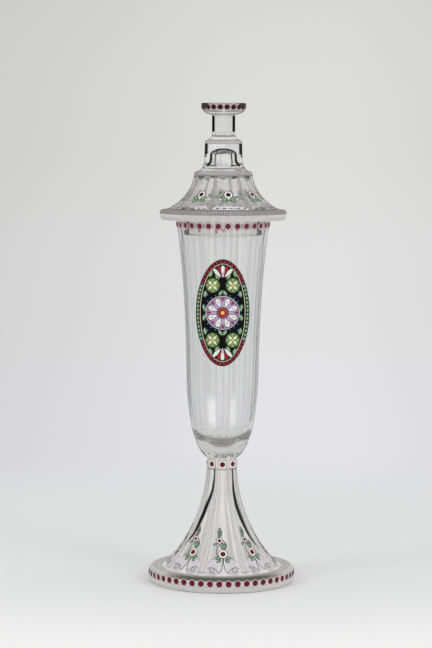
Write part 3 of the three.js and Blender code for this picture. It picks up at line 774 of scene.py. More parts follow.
# Fired enamel: colour, rim colour, where the rim starts, mottle, gloss, alpha
enamels = {
    "crimson": ((112, 10, 24), (48, 2, 8), 0.4, 0.7, 0.25),
    "rose": ((132, 32, 68), (66, 6, 30), 0.4, 0.7, 0.25),
    "plum": ((96, 52, 84), (72, 34, 62)),
    "ruby": ((156, 18, 36), (96, 6, 20)),
    "maroon": ((58, 8, 16), (18, 2, 4), 0.5, 0.6, 0.2),
    "black": ((8, 8, 10), (4, 4, 5), 0.6, 0.3, 0.1),
    "white": ((242, 238, 234), (216, 196, 198), 0.85),
    "blush": ((242, 232, 232), (224, 196, 200), 0.8),
    # painted shade: the darker line along the brim's top edge
    "shadeLine": ((92, 88, 84), (120, 116, 112), 0.6, 0.3, 0.4, 0.55),
    "cream": ((236, 224, 200), (206, 188, 160)),
    "lilac": ((184, 168, 206), (136, 116, 168)),
    "leafGreen": ((140, 180, 136), (60, 104, 66), 0.4, 0.6),
    "greyGreen": ((132, 158, 150), (70, 92, 88), 0.4, 0.6),
    "youngGreen": ((132, 160, 86), (66, 102, 40), 0.5, 0.7),
    "blue": ((52, 116, 192), (24, 64, 130)),
    "yellow": ((236, 204, 92), (196, 146, 48)),
    "inkLine": ((36, 42, 40), (24, 28, 28), 0.6, 0.3, 0.15),
    "pinkLine": ((210, 170, 178), (194, 150, 160), 0.6, 0.3, 0.4, 0.6),
    "ribbonEdge": ((206, 178, 182), (196, 164, 170), 0.6, 0.3, 0.4, 0.4),
    "pinkHalo": ((246, 224, 230), (240, 202, 214), 0.6, 0.3, 0.4, 0.6),
    "pinkRun": ((214, 140, 168), (196, 104, 140), 0.6, 0.3, 0.4, 0.75),
    "plumHalo": ((176, 146, 152), (130, 84, 96), 0.5, 0.3, 0.4, 0.5),
}

# Matt coats: the lines' pitch, how worn they are, how much they are crossed, the colours of ground
# and line, and the alpha of each
coats = {
    "brimMatt": (1.8, 0.3, 0.0, (196, 192, 187), (68, 64, 60), 0.5, 0.95),
    "ringMatt": (0.9, 0.4, 0.4, (214, 211, 208), (160, 156, 152), 0.35, 0.6),
    "ribbonMatt": (0.9, 0.4, 0.5, (196, 193, 190), (148, 145, 142), 0.35, 0.62),
    "footRibbonMatt": (0.9, 0.4, 0.5, (236, 232, 230), (206, 200, 198), 0.25, 0.45),
    # painted shade: dark blobs in a band under the shoulder
    "shadeMatt": (12.0, 0.5, 0.0, (96, 94, 90), (58, 58, 54), 0.1, 0.75),
    "panelMatt": (1.0, 0.6, 1.0, (240, 240, 238), (214, 212, 210), 0.02, 0.22),
    "washMatt": (1.3, 0.3, 0.6, (250, 248, 252), (238, 232, 242), 0.4, 0.6),
    "plateMatt": (2.2, 0.9, 1.0, (244, 238, 236), (132, 122, 120), 0.1, 0.62),
    "rimMatt": (1.3, 0.5, 0.8, (252, 244, 242), (238, 220, 218), 0.25, 0.5),
}
finishes = {name: clearGlass(name, look) for name, look in glasses.items()}
finishes.update({name: firedEnamel(name, *look) for name, look in enamels.items()})
finishes.update({name: mattCoat(name, *look) for name, look in coats.items()})
print("materials")


def zoned(run, cuts, looks):
    # parts of a run with their glass, which changes at these heights, lowest first
    zone = np.searchsorted(cuts, run[:, 1], side="right")
    return [(run[zone == k], looks[k]) for k in dict.fromkeys(zone.tolist())]


# Glass of the cup
footSide = np.vstack([
    [[foot["radius"] - foot["chamfer"], 0], [foot["radius"], foot["chamfer"]]],
    [[foot["radius"], z] for z in foot["sideTop"]],
    rounded(foot["radius"], foot["height"], -foot["rounding"], -foot["rounding"]),
    [[trumpet["flareRadius"] + trumpet["flareRounding"], foot["height"]]],
])
hollow = trumpetHollow()
hollowSide, hollowLip = foot["hollowRadius"], foot["hollowLip"]
bendTop, bendFoot = foot["hollowBend"]
hollow = np.vstack([
    hollow,
    cornerRun(hollow[-1], (hollowSide - foot["bendIn"], bendTop), (hollowSide, bendFoot), 10)[1:],
    rounded(hollowSide, 0, hollowLip, hollowLip, 6),
])
flareStart = 4  # outline point where the rounding between plate and trumpet ends
neckEnd = (trumpet["neckRadius"], bowlFoot - trumpet["neckBlend"])
trumpetRun = np.vstack([
    cornerRun(footSide[-1], (trumpet["flareRadius"], foot["height"]), trumpetOutline[flareStart])[1:],
    trumpetOutline[flareStart + 1:-2],
    cornerRun(trumpetOutline[-2], neckEnd, bowlOutline[2])[:-1],
])
bowlRun = bowlOutline[2:-1]
wellRun = bowlWell()
lipStart = (radiusAt(bowlOutline, mouthHeight - bowl["lip"]), mouthHeight - bowl["lip"])
lipTop = (bowl["mouthRadius"] - bowl["wall"] / 2, mouthHeight)
lipOuter = (bowl["mouthRadius"] - bowl["lipEdge"], mouthHeight)
lipInner = (bowl["mouthRadius"] - bowl["wall"] + bowl["lipEdge"], mouthHeight)
lipRun = np.vstack([cornerRun(lipStart, lipOuter, lipTop, 6),
                    cornerRun(lipTop, lipInner, wellRun[0], 6)[1:]])
cupRuns = [
    (hollow, "trumpetHollowGlass"), (footSide[:4], "plateGlass"), (footSide[4:], "plateTopGlass"),
    (trumpetRun, "trumpetGlass"),
    *zoned(bowlRun, (bowlFoot + bowl["baseRing"], bowlFoot + bowl["baseSide"]),
           ("baseGlass", "baseSideGlass", "bowlGlass")),
    (lipRun, "bowlGlass"),
    *zoned(wellRun[1:], (bowlFoot + bowl["wellFloor"],), ("wellFloorGlass", "wellGlass")),
]
makePiece("cupGlass", [turnedSolid(cupRuns, footFlat, trumpet["turn"], bowl["fluteDepth"])],
          "cup", ["foot_plate", "foot_trumpet", "bowl"])
print("glass of the cup")

# Glass of the cover, in heights above the mouth
collarSide, collarEnd = cover["collarRadius"], -cover["collarDepth"]
collarBore = collarSide - cover["collarWall"]
collarEdge, chamfer = cover["collarRounding"], cover["brimChamfer"]
collarRun = np.vstack([
    [[collarBore, cover["boreEnd"]]],
    rounded(collarBore, collarEnd, collarEdge, collarEdge, 4),
    rounded(collarSide, collarEnd, -collarEdge, collarEdge, 4)[::-1],
    [[collarSide, -chamfer]],
])
brimSide, brimTop, brimEdge = cover["brimRadius"], cover["brimThickness"], cover["brimRounding"]
leanLow, leanHigh = cover["brimLean"]
brimRun = np.vstack([
    rounded(collarSide, 0, chamfer, -chamfer, 4)[1:],
    [[cover["brimUnder"] - chamfer, 0], [cover["brimUnder"], chamfer], [brimSide, cover["brimWidest"]]],
    cornerRun((brimSide - leanLow, brimTop - brimEdge), (brimSide - leanHigh, brimTop),
              (brimSide - brimEdge, brimTop)),
])
tierRun = eased(spread(np.vstack([[brimRun[-1]], tierOutline[1:]]), 0.9))[1:-1]
turretRun = eased(spread(np.vstack([tierOutline[-1:], turretOutline]), 0.8))[:-1]
finialFoot = cover["turretTopHeight"]
finialTop = finialFoot + finial["height"]
buttonTop = finialTop + finial["buttonHeight"]
buttonWaist = (finial["buttonRadius"], finialTop + finial["buttonWaist"])
stemTop = (finial["radius"], finialTop)
stemEnd = np.array([[finial["radius"], finialTop - finial["stemEnd"]]])
stemCove = cornerRun((cover["turretTopRadius"], finialFoot),
                     (finial["radius"], finialFoot + finial["coveShare"] * finial["cove"]),
                     (finial["radius"], finialFoot + finial["cove"]), 14)
buttonEdge = finial["buttonRounding"]
waistEnd = (mix(stemTop[0], buttonWaist[0], finial["waistShare"]), buttonWaist[1])
buttonRun = np.vstack([
    swung(stemTop, buttonWaist, finial["buttonHandles"], waistEnd, 19),
    [[finial["buttonRadius"], buttonTop - 2 * buttonEdge]],
    rounded(finial["buttonRadius"], buttonTop, -buttonEdge, -buttonEdge, 5),
])
capFoot = cover["hollowHeight"] - cover["hollowRounding"]
turretCuts = (turretSide[1] + cover["coveEnd"], turretSide[1] + cover["lowEnd"],
              cover["turretHeight"] - cover["turretRounding"])
coverRuns = [
    *zoned(coverHollow(), (turretSide[1] + cover["turretHollowFrom"], capFoot + justAbove),
           ("coverHollowGlass", "turretHollowGlass", "capGlass")),
    (collarRun[:2], "coverHollowGlass"), (collarRun[2:], "collarGlass"), (brimRun, "brimGlass"),
    (tierRun, "coverGlass"),
    *zoned(turretRun, turretCuts, ("coveGlass", "turretLowGlass", "turretGlass", "stemFootGlass")),
    (stemCove, "stemFootGlass"), (stemEnd, "stemGlass"),
    *zoned(buttonRun, (buttonWaist[1],), ("buttonUnderGlass", "buttonGlass")),
    (np.array([[0, buttonTop]]), "plainGlass"),
]
coverRuns = [(run + [[0, coverSeat]], look) for run, look in coverRuns]
makePiece("coverGlass", [turnedSolid(coverRuns, seatedFlat, cover["turn"])],
          "cover", ["cover_dome", "cover_collar", "finial_stem", "finial_button"])
print("glass of the cover")

# Lanes for the enamel
rimLane = makeLane(np.vstack([footSide, trumpetRun[:4]]), plainRound, 0)
trumpetLane = makeLane(np.vstack([footSide[-1:], trumpetRun]), footFlat, trumpet["turn"])
bowlLane = makeLane(np.vstack([bowlRun, [lipStart]]), plainRound, 0)
coverLane = makeLane(np.vstack([brimRun[5:], tierRun, turretRun, stemCove[:1]]), coverFlat,
                     cover["turn"], coverSeat)
buttonLane = makeLane(buttonRun, plainRound, cover["turn"], coverSeat)
corners = (np.arange(panelCount) + 0.5) * panelAngle


def dot(look, values, lift):
    return domes(look, oval(0, 0, values["radius"]), values["domeHeight"], 2.4, lift=lift)


def halo(look, values, height, lift=0.0):
    # pale colour that spread round a dot
    return domes(look, oval(0, 0, *values["halo"]), height, 8, lift=lift)


# Enamel dots
footDots = dict(count=50, radius=2.1, height=6.6, first=-1.6, halo=(2.75, 2.75), domeHeight=0.55,
                band=(-2.9, 2.2))
start = lengthAt(rimLane, footDots["height"])
angles = ringAngles(footDots["count"], math.radians(footDots["first"]))
bandLow, bandHigh = (start + edge for edge in footDots["band"])
makePiece("footRimDots", [
    ringLayer("rimMatt", rimLane, bandLow, bandHigh, 0.12),
    *laid([halo("pinkHalo", footDots, 0.1, 0.11), dot("crimson", footDots, 0.12)], rimLane, angles,
          start=start),
], "cup", ["foot_rim_dots"])

neckDots = dict(radius=1.9, side=6.2, drop=4.4, domeHeight=0.5, line=(-4.1, -3.7))
start = lengthAt(trumpetLane, bowlFoot - neckDots["drop"])
disc = oval(0, 0, 1, count=32)
square = np.sign(disc) * np.abs(disc) ** 0.3 * neckDots["side"] / 2
lineLow, lineHigh = (start + edge for edge in neckDots["line"])
makePiece("neckDots", [
    *laid([domes("white", square, 0.16, 12), strokes("pinkLine", square * 1.02, 0.35, 0.2, 8, loop=True),
           dot("crimson", neckDots, 0.14)], trumpetLane, ringAngles(panelCount), start=start),
    ringLayer("inkLine", trumpetLane, lineLow, lineHigh, 0.12, 4),
], "cup", ["neck_dots"])

mouthDots = dict(count=30, radius=1.95, drop=3.6, halo=(3.3, 3.4), domeHeight=0.5)
start = lengthAt(bowlLane, mouthHeight - mouthDots["drop"])
# colour that ran down from some dots: across, below the dot's middle, length, width
colourRuns = ((-17.3, 1.2, 3.6, 2.2), (-4.9, 1.0, 4.4, 2.6), (-1.2, 0.8, 2.6, 1.4), (0.6, 1.6, 2.8, 1.8),
              (9.8, 1.0, 2.4, 1.6))
drips = [petal(x, -drop, length, width, -quarterTurn, 0.6) for x, drop, length, width in colourRuns]
angles = ringAngles(mouthDots["count"], math.pi / mouthDots["count"])
makePiece("mouthDots", [
    *laid([halo("pinkHalo", mouthDots, 0.08), dot("rose", mouthDots, 0.06)], bowlLane, angles,
          start=start),
    *laid([domes("pinkRun", drips, 0.14, 3, lift=0.06)], bowlLane, 0.0, "front", start),
], "cup", ["mouth_dots"])

buttonDots = dict(count=20, first=1, radius=1.75, drop=3.2, halo=(2.3, 2.0), domeHeight=0.45)
start = lengthAt(buttonLane, buttonTop - buttonDots["drop"])
angles = ringAngles(buttonDots["count"], math.radians(buttonDots["first"]))
makePiece("buttonDots", laid([halo("plumHalo", buttonDots, 0.08), dot("maroon", buttonDots, 0.06)],
                             buttonLane, angles, start=start),
          "cover", ["button_dots"])
print("enamel dots")


def ringBetween(look, lane, low, high, thickness, steps):
    return ringLayer(look, lane, lengthAt(lane, low), lengthAt(lane, high), thickness, steps)


def straightUp(lane, span, count):
    low, high = span
    run = np.linspace(lengthAt(lane, low), lengthAt(lane, high), count)
    return np.column_stack([0 * run, run])


# Matt coats of the cover: brim roll, shoulder and turret rings, ribbons over the corners and hatched
# panels, with painted shade in a band of dark blobs under the shoulder and a darker line along the
# brim's top. Rings are low and high edge, thickness and steps; the ribbons' widths are at foot and top
coverMatt = dict(brim=(4.3, 8.5, 0.22, 18), shoulder=(32.6, 35.8, 0.16, 14),
                 turret=(55.6, 59.2, 0.16, 14), shade=(30.9, 32.4, 0.1, 6), lineAt=7.9, lineWidth=1.1,
                 ribbon=(8.7, 32.4), ribbonWidths=(4.2, 2.4), thickness=0.14, panel=(9.6, 29),
                 panelGap=0.8)
makePiece("brimBand", [ringBetween("brimMatt", coverLane, *coverMatt["brim"])],
          "cover", ["brim_band"])
ribbonRun = straightUp(coverLane, coverMatt["ribbon"], 40)
ribbonWidths = np.linspace(*coverMatt["ribbonWidths"], 40)
panelRun = straightUp(coverLane, coverMatt["panel"], 32)
panelRadius = np.interp(panelRun[:, 1], coverLane["lengths"], coverLane["outline"][:, 0])
panelWidths = 2 * panelRadius * math.tan(panelAngle / 2) - np.linspace(*coverMatt["ribbonWidths"], 32)
panelWidths = panelWidths - coverMatt["panelGap"]
lineAt = lengthAt(coverLane, coverMatt["lineAt"])
makePiece("coverMatt", [
    ringBetween("ringMatt", coverLane, *coverMatt["shoulder"]),
    ringBetween("ringMatt", coverLane, *coverMatt["turret"]),
    # painted shade under the shoulder and along the brim's top
    ringBetween("shadeMatt", coverLane, *coverMatt["shade"]),
    ringLayer("shadeLine", coverLane, lineAt, lineAt + coverMatt["lineWidth"], 0.26, 6),
    *laid([strokes("ribbonMatt", ribbonRun, ribbonWidths, coverMatt["thickness"], 16, 0.25)],
          coverLane, corners),
    *laid([strokes("panelMatt", panelRun, panelWidths, 0.07, 24, 0.1)],
          coverLane, ringAngles(panelCount)),
], "cover", [])

# Matt coats of the foot: ribbons with thin pink edges, and the frosted top of the plate
footMatt = dict(ribbon=(12.2, 86), ribbonWidths=(4.4, 1.9), narrowing=45, thickness=0.14,
                plate=(0.4, 7.6))
ribbonRun = straightUp(trumpetLane, footMatt["ribbon"], 90)
narrowed = smooth(0, footMatt["narrowing"], ribbonRun[:, 1] - ribbonRun[0, 1])
ribbonWidths = mix(*footMatt["ribbonWidths"], narrowed)
edges = [np.column_stack([side * ribbonWidths / 2, ribbonRun[:, 1]]) for side in (-1, 1)]
plateTop = lengthAt(rimLane, foot["height"])
plateInner, plateOuter = (plateTop + inset for inset in footMatt["plate"])
makePiece("footMatt", [
    *laid([strokes("footRibbonMatt", ribbonRun, ribbonWidths, footMatt["thickness"], 16, 0.25),
           *(strokes("ribbonEdge", edge, 0.4, 0.18, 8) for edge in edges)], trumpetLane, corners),
    ringLayer("plateMatt", rimLane, plateInner, plateOuter, 0.14),
], "cup", [])
print("matt coats")


def makeSprigs(name, nodeName, layers, lane, start, body):
    # the same sprig on every panel
    for index in range(panelCount):
        makePiece(name + str(index + 1), laid(layers, lane, index * panelAngle, start=start), body,
                  ["%s_%d" % (nodeName, index + 1)])


def scroll(x, y, wide, turns, first, count=40):
    # spiral: its radius shrinks from wide to a fifth while the angle runs on
    t = np.linspace(0, 1, count)
    r = wide * (1 - 0.8 * t)
    a = first + t * turns * 2 * math.pi
    return np.column_stack([x + r * np.cos(a), y + r * np.sin(a)])


# Sprigs on the foot's panels, in millimetres across and up the panel from the flare's foot: two
# white flowers on inked stems, leaves, a chain of buds, and a pale wash in two lobes below
footSprig = dict(footAt=12.2, flowerAt=24.4, flowerRadius=3.5, ringRadius=3.6, eyeRadius=1.9, budAt=33.4,
                 budRadius=2.3, budRing=2.4, budEye=1.25, budAcross=-2.4, tipAt=41.5, stemPoints=53)
panelFoot = lengthAt(trumpetLane, footSprig["footAt"])
flower, bud, tip = (lengthAt(trumpetLane, footSprig[k]) - panelFoot
                    for k in ("flowerAt", "budAt", "tipAt"))
across = footSprig["budAcross"]
stems = [curve([(-0.2, flower - 3), (-0.3, flower - 8), (-0.6, 3.5), (-3.4, 0.4)]),
         np.vstack([curve([(-3.4, 0.4), (-5.2, 4.2), (-8.2, 6.8), (-11.6, 4.4)], 14),
                    scroll(-8.9, 2.8, 3.0, -1.3, 2.6)[1:]])]
stems += mirrored(stems)
stems += [curve([(-2.8, flower - 2.6), (-6.2, flower + 0.5), (-4.6, flower + 8), (-0.4, flower + 8.6)]),
          curve([(0, flower + 3), (3.8, flower + 4.5), (3.2, flower + 9), (across + 1.8, bud + 0.8)]),
          curve([(across, bud + 2), (across + 1.4, bud + 4), (across - 0.6, bud + 6),
                 (across + 0.3, tip)]),
          curve([(across + 0.4, bud + 4.6), (across + 1.8, bud + 5.6), (across + 1.9, bud + 7)], 12),
          curve([(across, bud + 5.4), (across - 1.5, bud + 6.2), (across - 1.4, bud + 7.6)], 12)]
stems = [resampled(path, footSprig["stemPoints"]) for path in stems]
leaves = [leaf(0.1, flower + 4.2, 3.6, 2.0, 2.0), leaf(0.3, flower + 4.2, 3.8, 2.2, 1.15),
          leaf(-1.6, flower - 4.0, 4.2, 2.3, 2.8), leaf(1.6, flower - 4.0, 4.2, 2.3, 0.34),
          leaf(-1.6, flower - 5.0, 3.6, 1.9, 3.6), leaf(1.6, flower - 5.0, 3.6, 1.9, -0.46),
          leaf(across - 1.8, bud - 2.0, 3.2, 1.5, 3.6), leaf(across + 1.8, bud - 2.2, 2.8, 1.5, -0.2)]
chain = [oval(across + x, bud + y, 0.85, 1.15, tilt, 16) for x, y, tilt in
         ((-0.5, 3.4, 0.5), (0.7, 4.6, -0.5), (-0.4, 6.0, 0.5), (0.6, 7.2, -0.4), (0.1, 8.8, 0.0))]
lobes = [np.vstack([curve([(-1.2, 1.5), (-1.6, 7), (-1.2, 9.5), (-2.2, 11.2)], 14),
                    curve([(-2.2, 11.2), (-5.5, 12.6), (-8, 12), (-10.2, 10.2)], 12)[1:],
                    curve([(-10.2, 10.2), (-12.6, 6), (-13.4, 3), (-13.8, 1.6)], 12)[1:],
                    curve([(-13.8, 1.6), (-9, 0.4), (-5, 0.6), (-1.2, 1.5)], 12)[1:-1]])]
lobes += [p[::-1] for p in mirrored(lobes)]
lobeTops = [curve([(-1.6, 10.2), (-4.5, 13.4), (-8, 13.2), (-11.2, 9.6)])]
lobeTops += mirrored(lobeTops)


def flowerAndBud(large, small):
    return [oval(0, flower, footSprig[large]), oval(across, bud, footSprig[small])]


makeSprigs("footSprig", "foot_sprig", [
    domes("washMatt", lobes, 0.08, 12),
    strokes("pinkLine", lobeTops, 0.35, 0.12, 8),
    strokes("inkLine", stems, 0.5, 0.2),
    domes("leafGreen", leaves, 0.32, 2.0),
    strokes("inkLine", leaves, 0.34, 0.24, loop=True),
    domes("greyGreen", chain, 0.24, 2.0),
    strokes("inkLine", chain, 0.32, 0.2, loop=True),
    domes("blush", flowerAndBud("flowerRadius", "budRadius"), 0.26, 6),
    strokes("inkLine", flowerAndBud("ringRadius", "budRing"), 0.3, 0.3, loop=True),
    domes("crimson", flowerAndBud("eyeRadius", "budEye"), 0.4, 2.4, lift=0.2),
], trumpetLane, panelFoot, "cup")

# Sprigs on the cover's panels: one flower with leaves and bows over a row of dashes
coverSprig = dict(flowerAt=18.9, ringRadius=3.5, flowerRadius=3.0, eyeRadius=1.75, dashAt=9.5,
                  dashLength=1.8, dashes=(-15.5, -10.4, -5.3, -0.2, 4.9, 10.0))
flower = lengthAt(coverLane, coverSprig["flowerAt"])
dashAt = lengthAt(coverLane, coverSprig["dashAt"])
leaves = [leaf(-0.3, flower - 4.8, 6.2, 2.7, 2.7), leaf(0.3, flower - 4.8, 6.2, 2.7, 0.44),
          leaf(-0.8, flower - 5.2, 5.0, 1.8, 3.35), leaf(0.8, flower - 5.2, 5.0, 1.8, -0.2)]
bows = [curve([(-0.8, flower - 6.2), (-3.4, flower - 7.6), (-6.2, flower - 6.4), (-7.4, flower - 3.4)])]
bows += mirrored(bows)
dashes = [[[x, dashAt], [x + coverSprig["dashLength"], dashAt]] for x in coverSprig["dashes"]]
petals, ring, eye = (oval(0, flower, coverSprig[k]) for k in ("flowerRadius", "ringRadius", "eyeRadius"))
makeSprigs("coverSprig", "cover_sprig", [
    domes("leafGreen", leaves, 0.3, 2.0, base=-0.06),
    strokes("inkLine", leaves, 0.4, 0.22, base=-0.07, loop=True),
    strokes("leafGreen", bows, 0.5, 0.16),
    domes("white", petal(0, flower - 5.0, 2.6, 1.6, quarterTurn, 0.5), 0.3, 3),
    domes("white", petals, 0.26, 6, base=-0.06),
    strokes("inkLine", ring, 0.4, 0.24, base=-0.08, loop=True),
    domes("maroon", eye, 0.4, 2.4, lift=0.2),
    domes("maroon", eye, 0.05, 2.4, base=-0.14),
    strokes("plum", dashes, 1.2, 0.34),
], coverLane, 0.0, "cover")
print("sprigs")

# Medallion: an oval with a rosette, blossoms, leaves and beads on black
medal = dict(halfWidth=19.6, halfHeight=39.4, drop=67, ground=0.22, beadCount=60, beadSize=(1.0, 1.35),
             beadInset=1.6, greenUpTo=21, lineInset=(0.3, 3.3), rosette=12.2, blossom=(7.3, 20.2),
             roundLeaf=(5.2, 5.6), berryRing=(4.1, 4.3), beadRing=13.6)


def evenOval(inset, count, first=0.0):
    # points at equal distances along the medallion's oval, drawn in by inset, and the direction of its
    # outward normal at each
    a, b = medal["halfWidth"] - inset, medal["halfHeight"] - inset
    t = np.linspace(0, 2 * math.pi, 2001)
    p = np.column_stack([a * np.cos(t), b * np.sin(t)])
    run = np.concatenate([[0], np.cumsum(np.linalg.norm(np.diff(p, axis=0), axis=1))])
    t = np.interp((np.arange(count) + first) / count * run[-1], run, t)
    return np.column_stack([a * np.cos(t), b * np.sin(t)]), np.arctan2(a * np.sin(t), b * np.cos(t))


def petalRing(radius, count, first, length, width, point, x=0.0, y=0.0):
    return [petal(x + radius * math.cos(q), y + radius * math.sin(q), length, width, q, point)
            for q in ringAngles(count, first)]


def beadRing(a, b, count, first, radius, points, x=0.0, y=0.0):
    return [oval(x + a * math.cos(q), y + b * math.sin(q), radius, count=points)
            for q in ringAngles(count, first)]


def bothEnds(loops):
    # the same at the lower end and the upper end, turned half round
    return [p * way for way in (-1, 1) for p in loops]


beads, facing = evenOval(medal["beadInset"], medal["beadCount"], 0.5)
border = [oval(x, y, *medal["beadSize"], tilt, 14) for (x, y), tilt in zip(beads, facing)]
redBeads = [loop for loop in border if abs(loop[:, 1].mean()) > medal["greenUpTo"]]
greenBeads = [loop for loop in border if abs(loop[:, 1].mean()) <= medal["greenUpTo"]]
outerLine, innerLine = (evenOval(inset, 160)[0] for inset in medal["lineInset"])
blossoms = [(sx * medal["blossom"][0], sy * medal["blossom"][1]) for sx, sy in quarters]
whitePetals = petalRing(3.2, 8, math.pi / 8, 8.2, 5.8, 1.6)
fourPetals = [p for x, y in blossoms for p in petalRing(0.5, 4, math.pi / 4, 3.3, 2.3, 0.7, x, y)]
berries = [p for x, y in blossoms for p in beadRing(*medal["berryRing"], 8, 0.0, 0.5, 8, x, y)]
sparks = ((1.0, 15.2), (14.6, 19.6), (6.0, 30.4), (11.2, 13.2))
blueBeads = beadRing(medal["beadRing"], medal["beadRing"], 24, math.pi / 24, 0.6, 10)
blueBeads += [oval(sx * x, sy * y, 0.75, count=10) for sx, sy in quarters for x, y in sparks]
# pointed leaves of one quarter: across, up, length, width, tilt
leafRows = ((3.2, 12.4, 5.4, 2.6, 2.2), (13.2, 11.0, 5.6, 2.8, 1.75), (9.8, 26.0, 5.2, 2.6, 2.0),
            (2.6, 24.6, 5.0, 2.4, 0.9), (14.0, 6.2, 4.6, 2.2, -1.7))
pointedLeaves = [(leaf(*row) * [sx, sy])[::sx * sy] for sy, sx in quarters for row in leafRows]
sideLeaves = [leaf(side * 13.7, y, 3.4, 1.7, quarterTurn + side * 0.5)
              for side in (-1, 1) for y in (-4.4, 0.8)]
veins = [np.linspace(mix(p[0], p[10], 0.15), mix(p[0], p[10], 0.8), 6)
         for p in pointedLeaves + sideLeaves]
tulips = bothEnds([petal(0, 26.2, 9.4, 4.6, quarterTurn + lean, 0.6) for lean in (-0.36, 0.36)])
tulipWhites = bothEnds([petal(0, 25.6, 9.6, 4.4, quarterTurn, 0.8),
                        *(petal(-side * 1.2, 26.0, 8.8, 3.6, quarterTurn + side * 0.72, 0.7)
                          for side in (1, -1))])
rosette = oval(0, 0, medal["rosette"], count=60)
groundOval = oval(0, 0, medal["halfWidth"], medal["halfHeight"], count=120)
blackGround = [domes("black", groundOval, medal["ground"], 14)]
motifs = [
    strokes("inkLine", outerLine, 0.45, 0.12, loop=True),
    domes("ruby", redBeads, 0.26),
    domes("leafGreen", greenBeads, 0.26),
    strokes("cream", innerLine, 0.5, 0.14, loop=True),
    domes("lilac", rosette, 0.12, 10),
    strokes("cream", rosette, 0.5, 0.2, loop=True),
    domes("white", whitePetals, 0.24),
    strokes("inkLine", whitePetals, 0.4, 0.26, loop=True),
    domes("pinkLine", petalRing(6.4, 8, math.pi / 8, 3.4, 1.5, 0.8), 0.3),
    domes("ruby", petalRing(7.8, 8, 0.0, 3.6, 1.9, 1.0), 0.3),
    domes("ruby", oval(0, 0, 4.4, count=32), 0.34, 6),
    domes("cream", beadRing(3.15, 3.15, 12, 0.0, 0.34, 8), 0.46, 2.4),
    domes("yellow", oval(0, 0, 1.9), 0.5, 2.4),
    domes("blue", blueBeads, 0.26),
    domes("youngGreen", [oval(x, y, *medal["roundLeaf"]) for x, y in blossoms], 0.2, 3),
    domes("cream", berries, 0.34),
    domes("white", fourPetals, 0.36),
    domes("yellow", [oval(x, y, 0.85, count=12) for x, y in blossoms], 0.46),
    domes("leafGreen", pointedLeaves, 0.26, 2.0),
    domes("youngGreen", sideLeaves, 0.26, 2.0),
    strokes("cream", veins, 0.32, 0.32),
    domes("ruby", tulips, 0.26),
    domes("white", tulipWhites, 0.34),
    strokes("inkLine", tulipWhites, 0.34, 0.36, loop=True),
    domes("lilac", bothEnds([petal(0, 26.6, 4.8, 1.8, quarterTurn, 0.8)]), 0.42),
]
start = lengthAt(bowlLane, mouthHeight - medal["drop"])
makePiece("medallionEnamel", [
    *laid(blackGround, bowlLane, 0.0, "front", start),
    *laid(motifs, bowlLane, 0.0, "front", start, medal["ground"]),
], "cup", ["medallion"])
print("medallion")

# Studio, in metres and degrees. Sky rows: height from 0 below to 1 overhead, brightness, blue share;
# side rows: the same from left to right over the middle fifth
studio = dict(
    # the floor paper's colours darken from front to back, painted shade
    floorFront=(0.93, 0.93, 0.93, 1), floorBack=(0.815, 0.82, 0.826, 1), floorTurns=(-0.26, 0.0),
    floorSolid=0.25, floorClear=0.75, floorRadius=1.2, floorHeight=-0.0002, floorRings=12,
    floorColumns=96,
    sky=((0.0, 0.84, 1.01), (0.40, 0.80, 1.02), (0.43, 0.775, 1.03), (0.466, 0.755, 1.0),
         (0.50, 0.722, 0.985), (0.56, 0.65, 0.96), (0.66, 0.56, 0.98), (0.76, 0.68, 0.99),
         (0.95, 1.1, 1.0)),
    sides=((0.0, 0.87, 1.0), (0.25, 0.93, 1.0), (0.5, 0.99, 1.0), (0.62, 1.0, 1.0), (0.76, 1.0, 1.0),
           (1.0, 0.94, 1.0)),
    camera=(0, -1.7, 0.3401), lens=127.6, sensor=36, down=4.978, roll=-0.265, yaw=0.189,
    aim=(0, 0, 0.18), lights=(("softboxRight", (1.1, -1.2, 1.0), (0.7, 1.2), 6),
                              ("softboxLeft", (-1.2, -0.8, 0.9), (0.5, 1.2), 4)),
)


def makeFloor():
    # flat disc: x = r cos(a), y = r sin(a)
    rings, around = studio["floorRings"], studio["floorColumns"]
    angles = np.linspace(0, 2 * math.pi, around, endpoint=False)
    radii = np.linspace(0.05, studio["floorRadius"], rings)[:, None]
    heights = np.full((rings, around), studio["floorHeight"])
    grid = np.stack([radii * np.cos(angles), radii * np.sin(angles), heights], -1).reshape(-1, 3)
    middle = [list(range(around))[::-1]]
    mesh = bpy.data.meshes.new("floor")
    mesh.from_pydata(grid, [], gridFaces(rings, around).tolist() + middle)
    floor = bpy.data.objects.new("floor", mesh)
    bpy.context.scene.collection.objects.link(floor)
    material, tree, shader = newMaterial("floorPaper")
    tree.nodes.remove(shader)
    place = addNode(tree, "TexCoord").outputs["Object"]
    length = addNode(tree, "VectorMath", {0: place}, operation="LENGTH").outputs["Value"]
    # painted shade: the paper darkens from front to back
    back = ranged(tree, addNode(tree, "SeparateXYZ", {0: place}).outputs["Y"], *studio["floorTurns"])
    colour = mixedColour(tree, back, studio["floorFront"], studio["floorBack"])
    mixedSurface(tree, ranged(tree, length, studio["floorSolid"], studio["floorClear"]),
                 addNode(tree, "BsdfDiffuse", {"Color": colour}), addNode(tree, "BsdfTransparent"))
    mesh.materials.append(material)


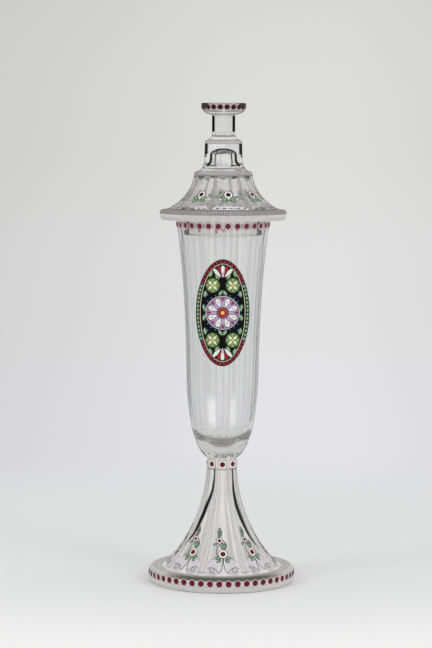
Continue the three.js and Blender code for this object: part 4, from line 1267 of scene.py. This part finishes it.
def rampOf(tree, factor, rows, interpolation):
    node = addNode(tree, "ValToRGB", {"Fac": factor})
    ramp = node.color_ramp
    ramp.interpolation = interpolation
    for position, _, _ in rows[2:]:
        ramp.elements.new(position)
    for element, (position, value, blue) in zip(ramp.elements, rows):
        element.position = position
        element.color = (value, value, value * blue, 1)
    return node.outputs["Color"]


def makeWorld():
    # pale round the horizon, darker above it, brightest overhead
    world = bpy.data.worlds.new("studioWorld")
    bpy.context.scene.world = world
    world.use_nodes = True
    tree = world.node_tree
    parts = addNode(tree, "SeparateXYZ", {0: addNode(tree, "TexCoord").outputs["Generated"]}).outputs
    height = mathNode(tree, "MULTIPLY_ADD", parts["Z"], 0.5, 0.5)
    across = mathNode(tree, "MULTIPLY_ADD", parts["X"], 5.0, 0.5)
    sky = rampOf(tree, height, studio["sky"], "EASE")
    sides = rampOf(tree, across, studio["sides"], "LINEAR")
    colour = mixedColour(tree, 1.0, sky, sides, blend_type="MULTIPLY")
    wire(tree, tree.nodes["Background"], {"Color": colour})


def makeCamera():
    # in front, a little under the cover's top, looking down
    data = bpy.data.cameras.new("camera")
    data.lens = studio["lens"]
    data.sensor_width = studio["sensor"]
    data.clip_end = 50
    camera = bpy.data.objects.new("camera", data)
    bpy.context.scene.collection.objects.link(camera)
    camera.location = studio["camera"]
    camera.rotation_mode = "XYZ"
    turns = (90 - studio["down"], studio["roll"], studio["yaw"])
    camera.rotation_euler = [math.radians(angle) for angle in turns]
    bpy.context.scene.camera = camera


def makeLight(name, place, size, power):
    data = bpy.data.lights.new(name, "AREA")
    data.shape = "RECTANGLE"
    data.size, data.size_y = size
    data.energy = power
    light = bpy.data.objects.new(name, data)
    bpy.context.scene.collection.objects.link(light)
    light.location = place
    x, y, z = np.array(studio["aim"]) - np.array(place)
    light.rotation_euler = (math.atan2(math.hypot(x, y), -z), 0, math.atan2(-x, y))


makeFloor()
makeWorld()
makeCamera()
for row in studio["lights"]:
    makeLight(*row)
print("studio")

scene = bpy.context.scene
scene.view_settings.view_transform = "Standard"
scene.cycles.max_bounces = 32
scene.cycles.transmission_bounces = 28
scene.cycles.glossy_bounces = 8
scene.cycles.transparent_max_bounces = 32
scene.cycles.blur_glossy = 0.5
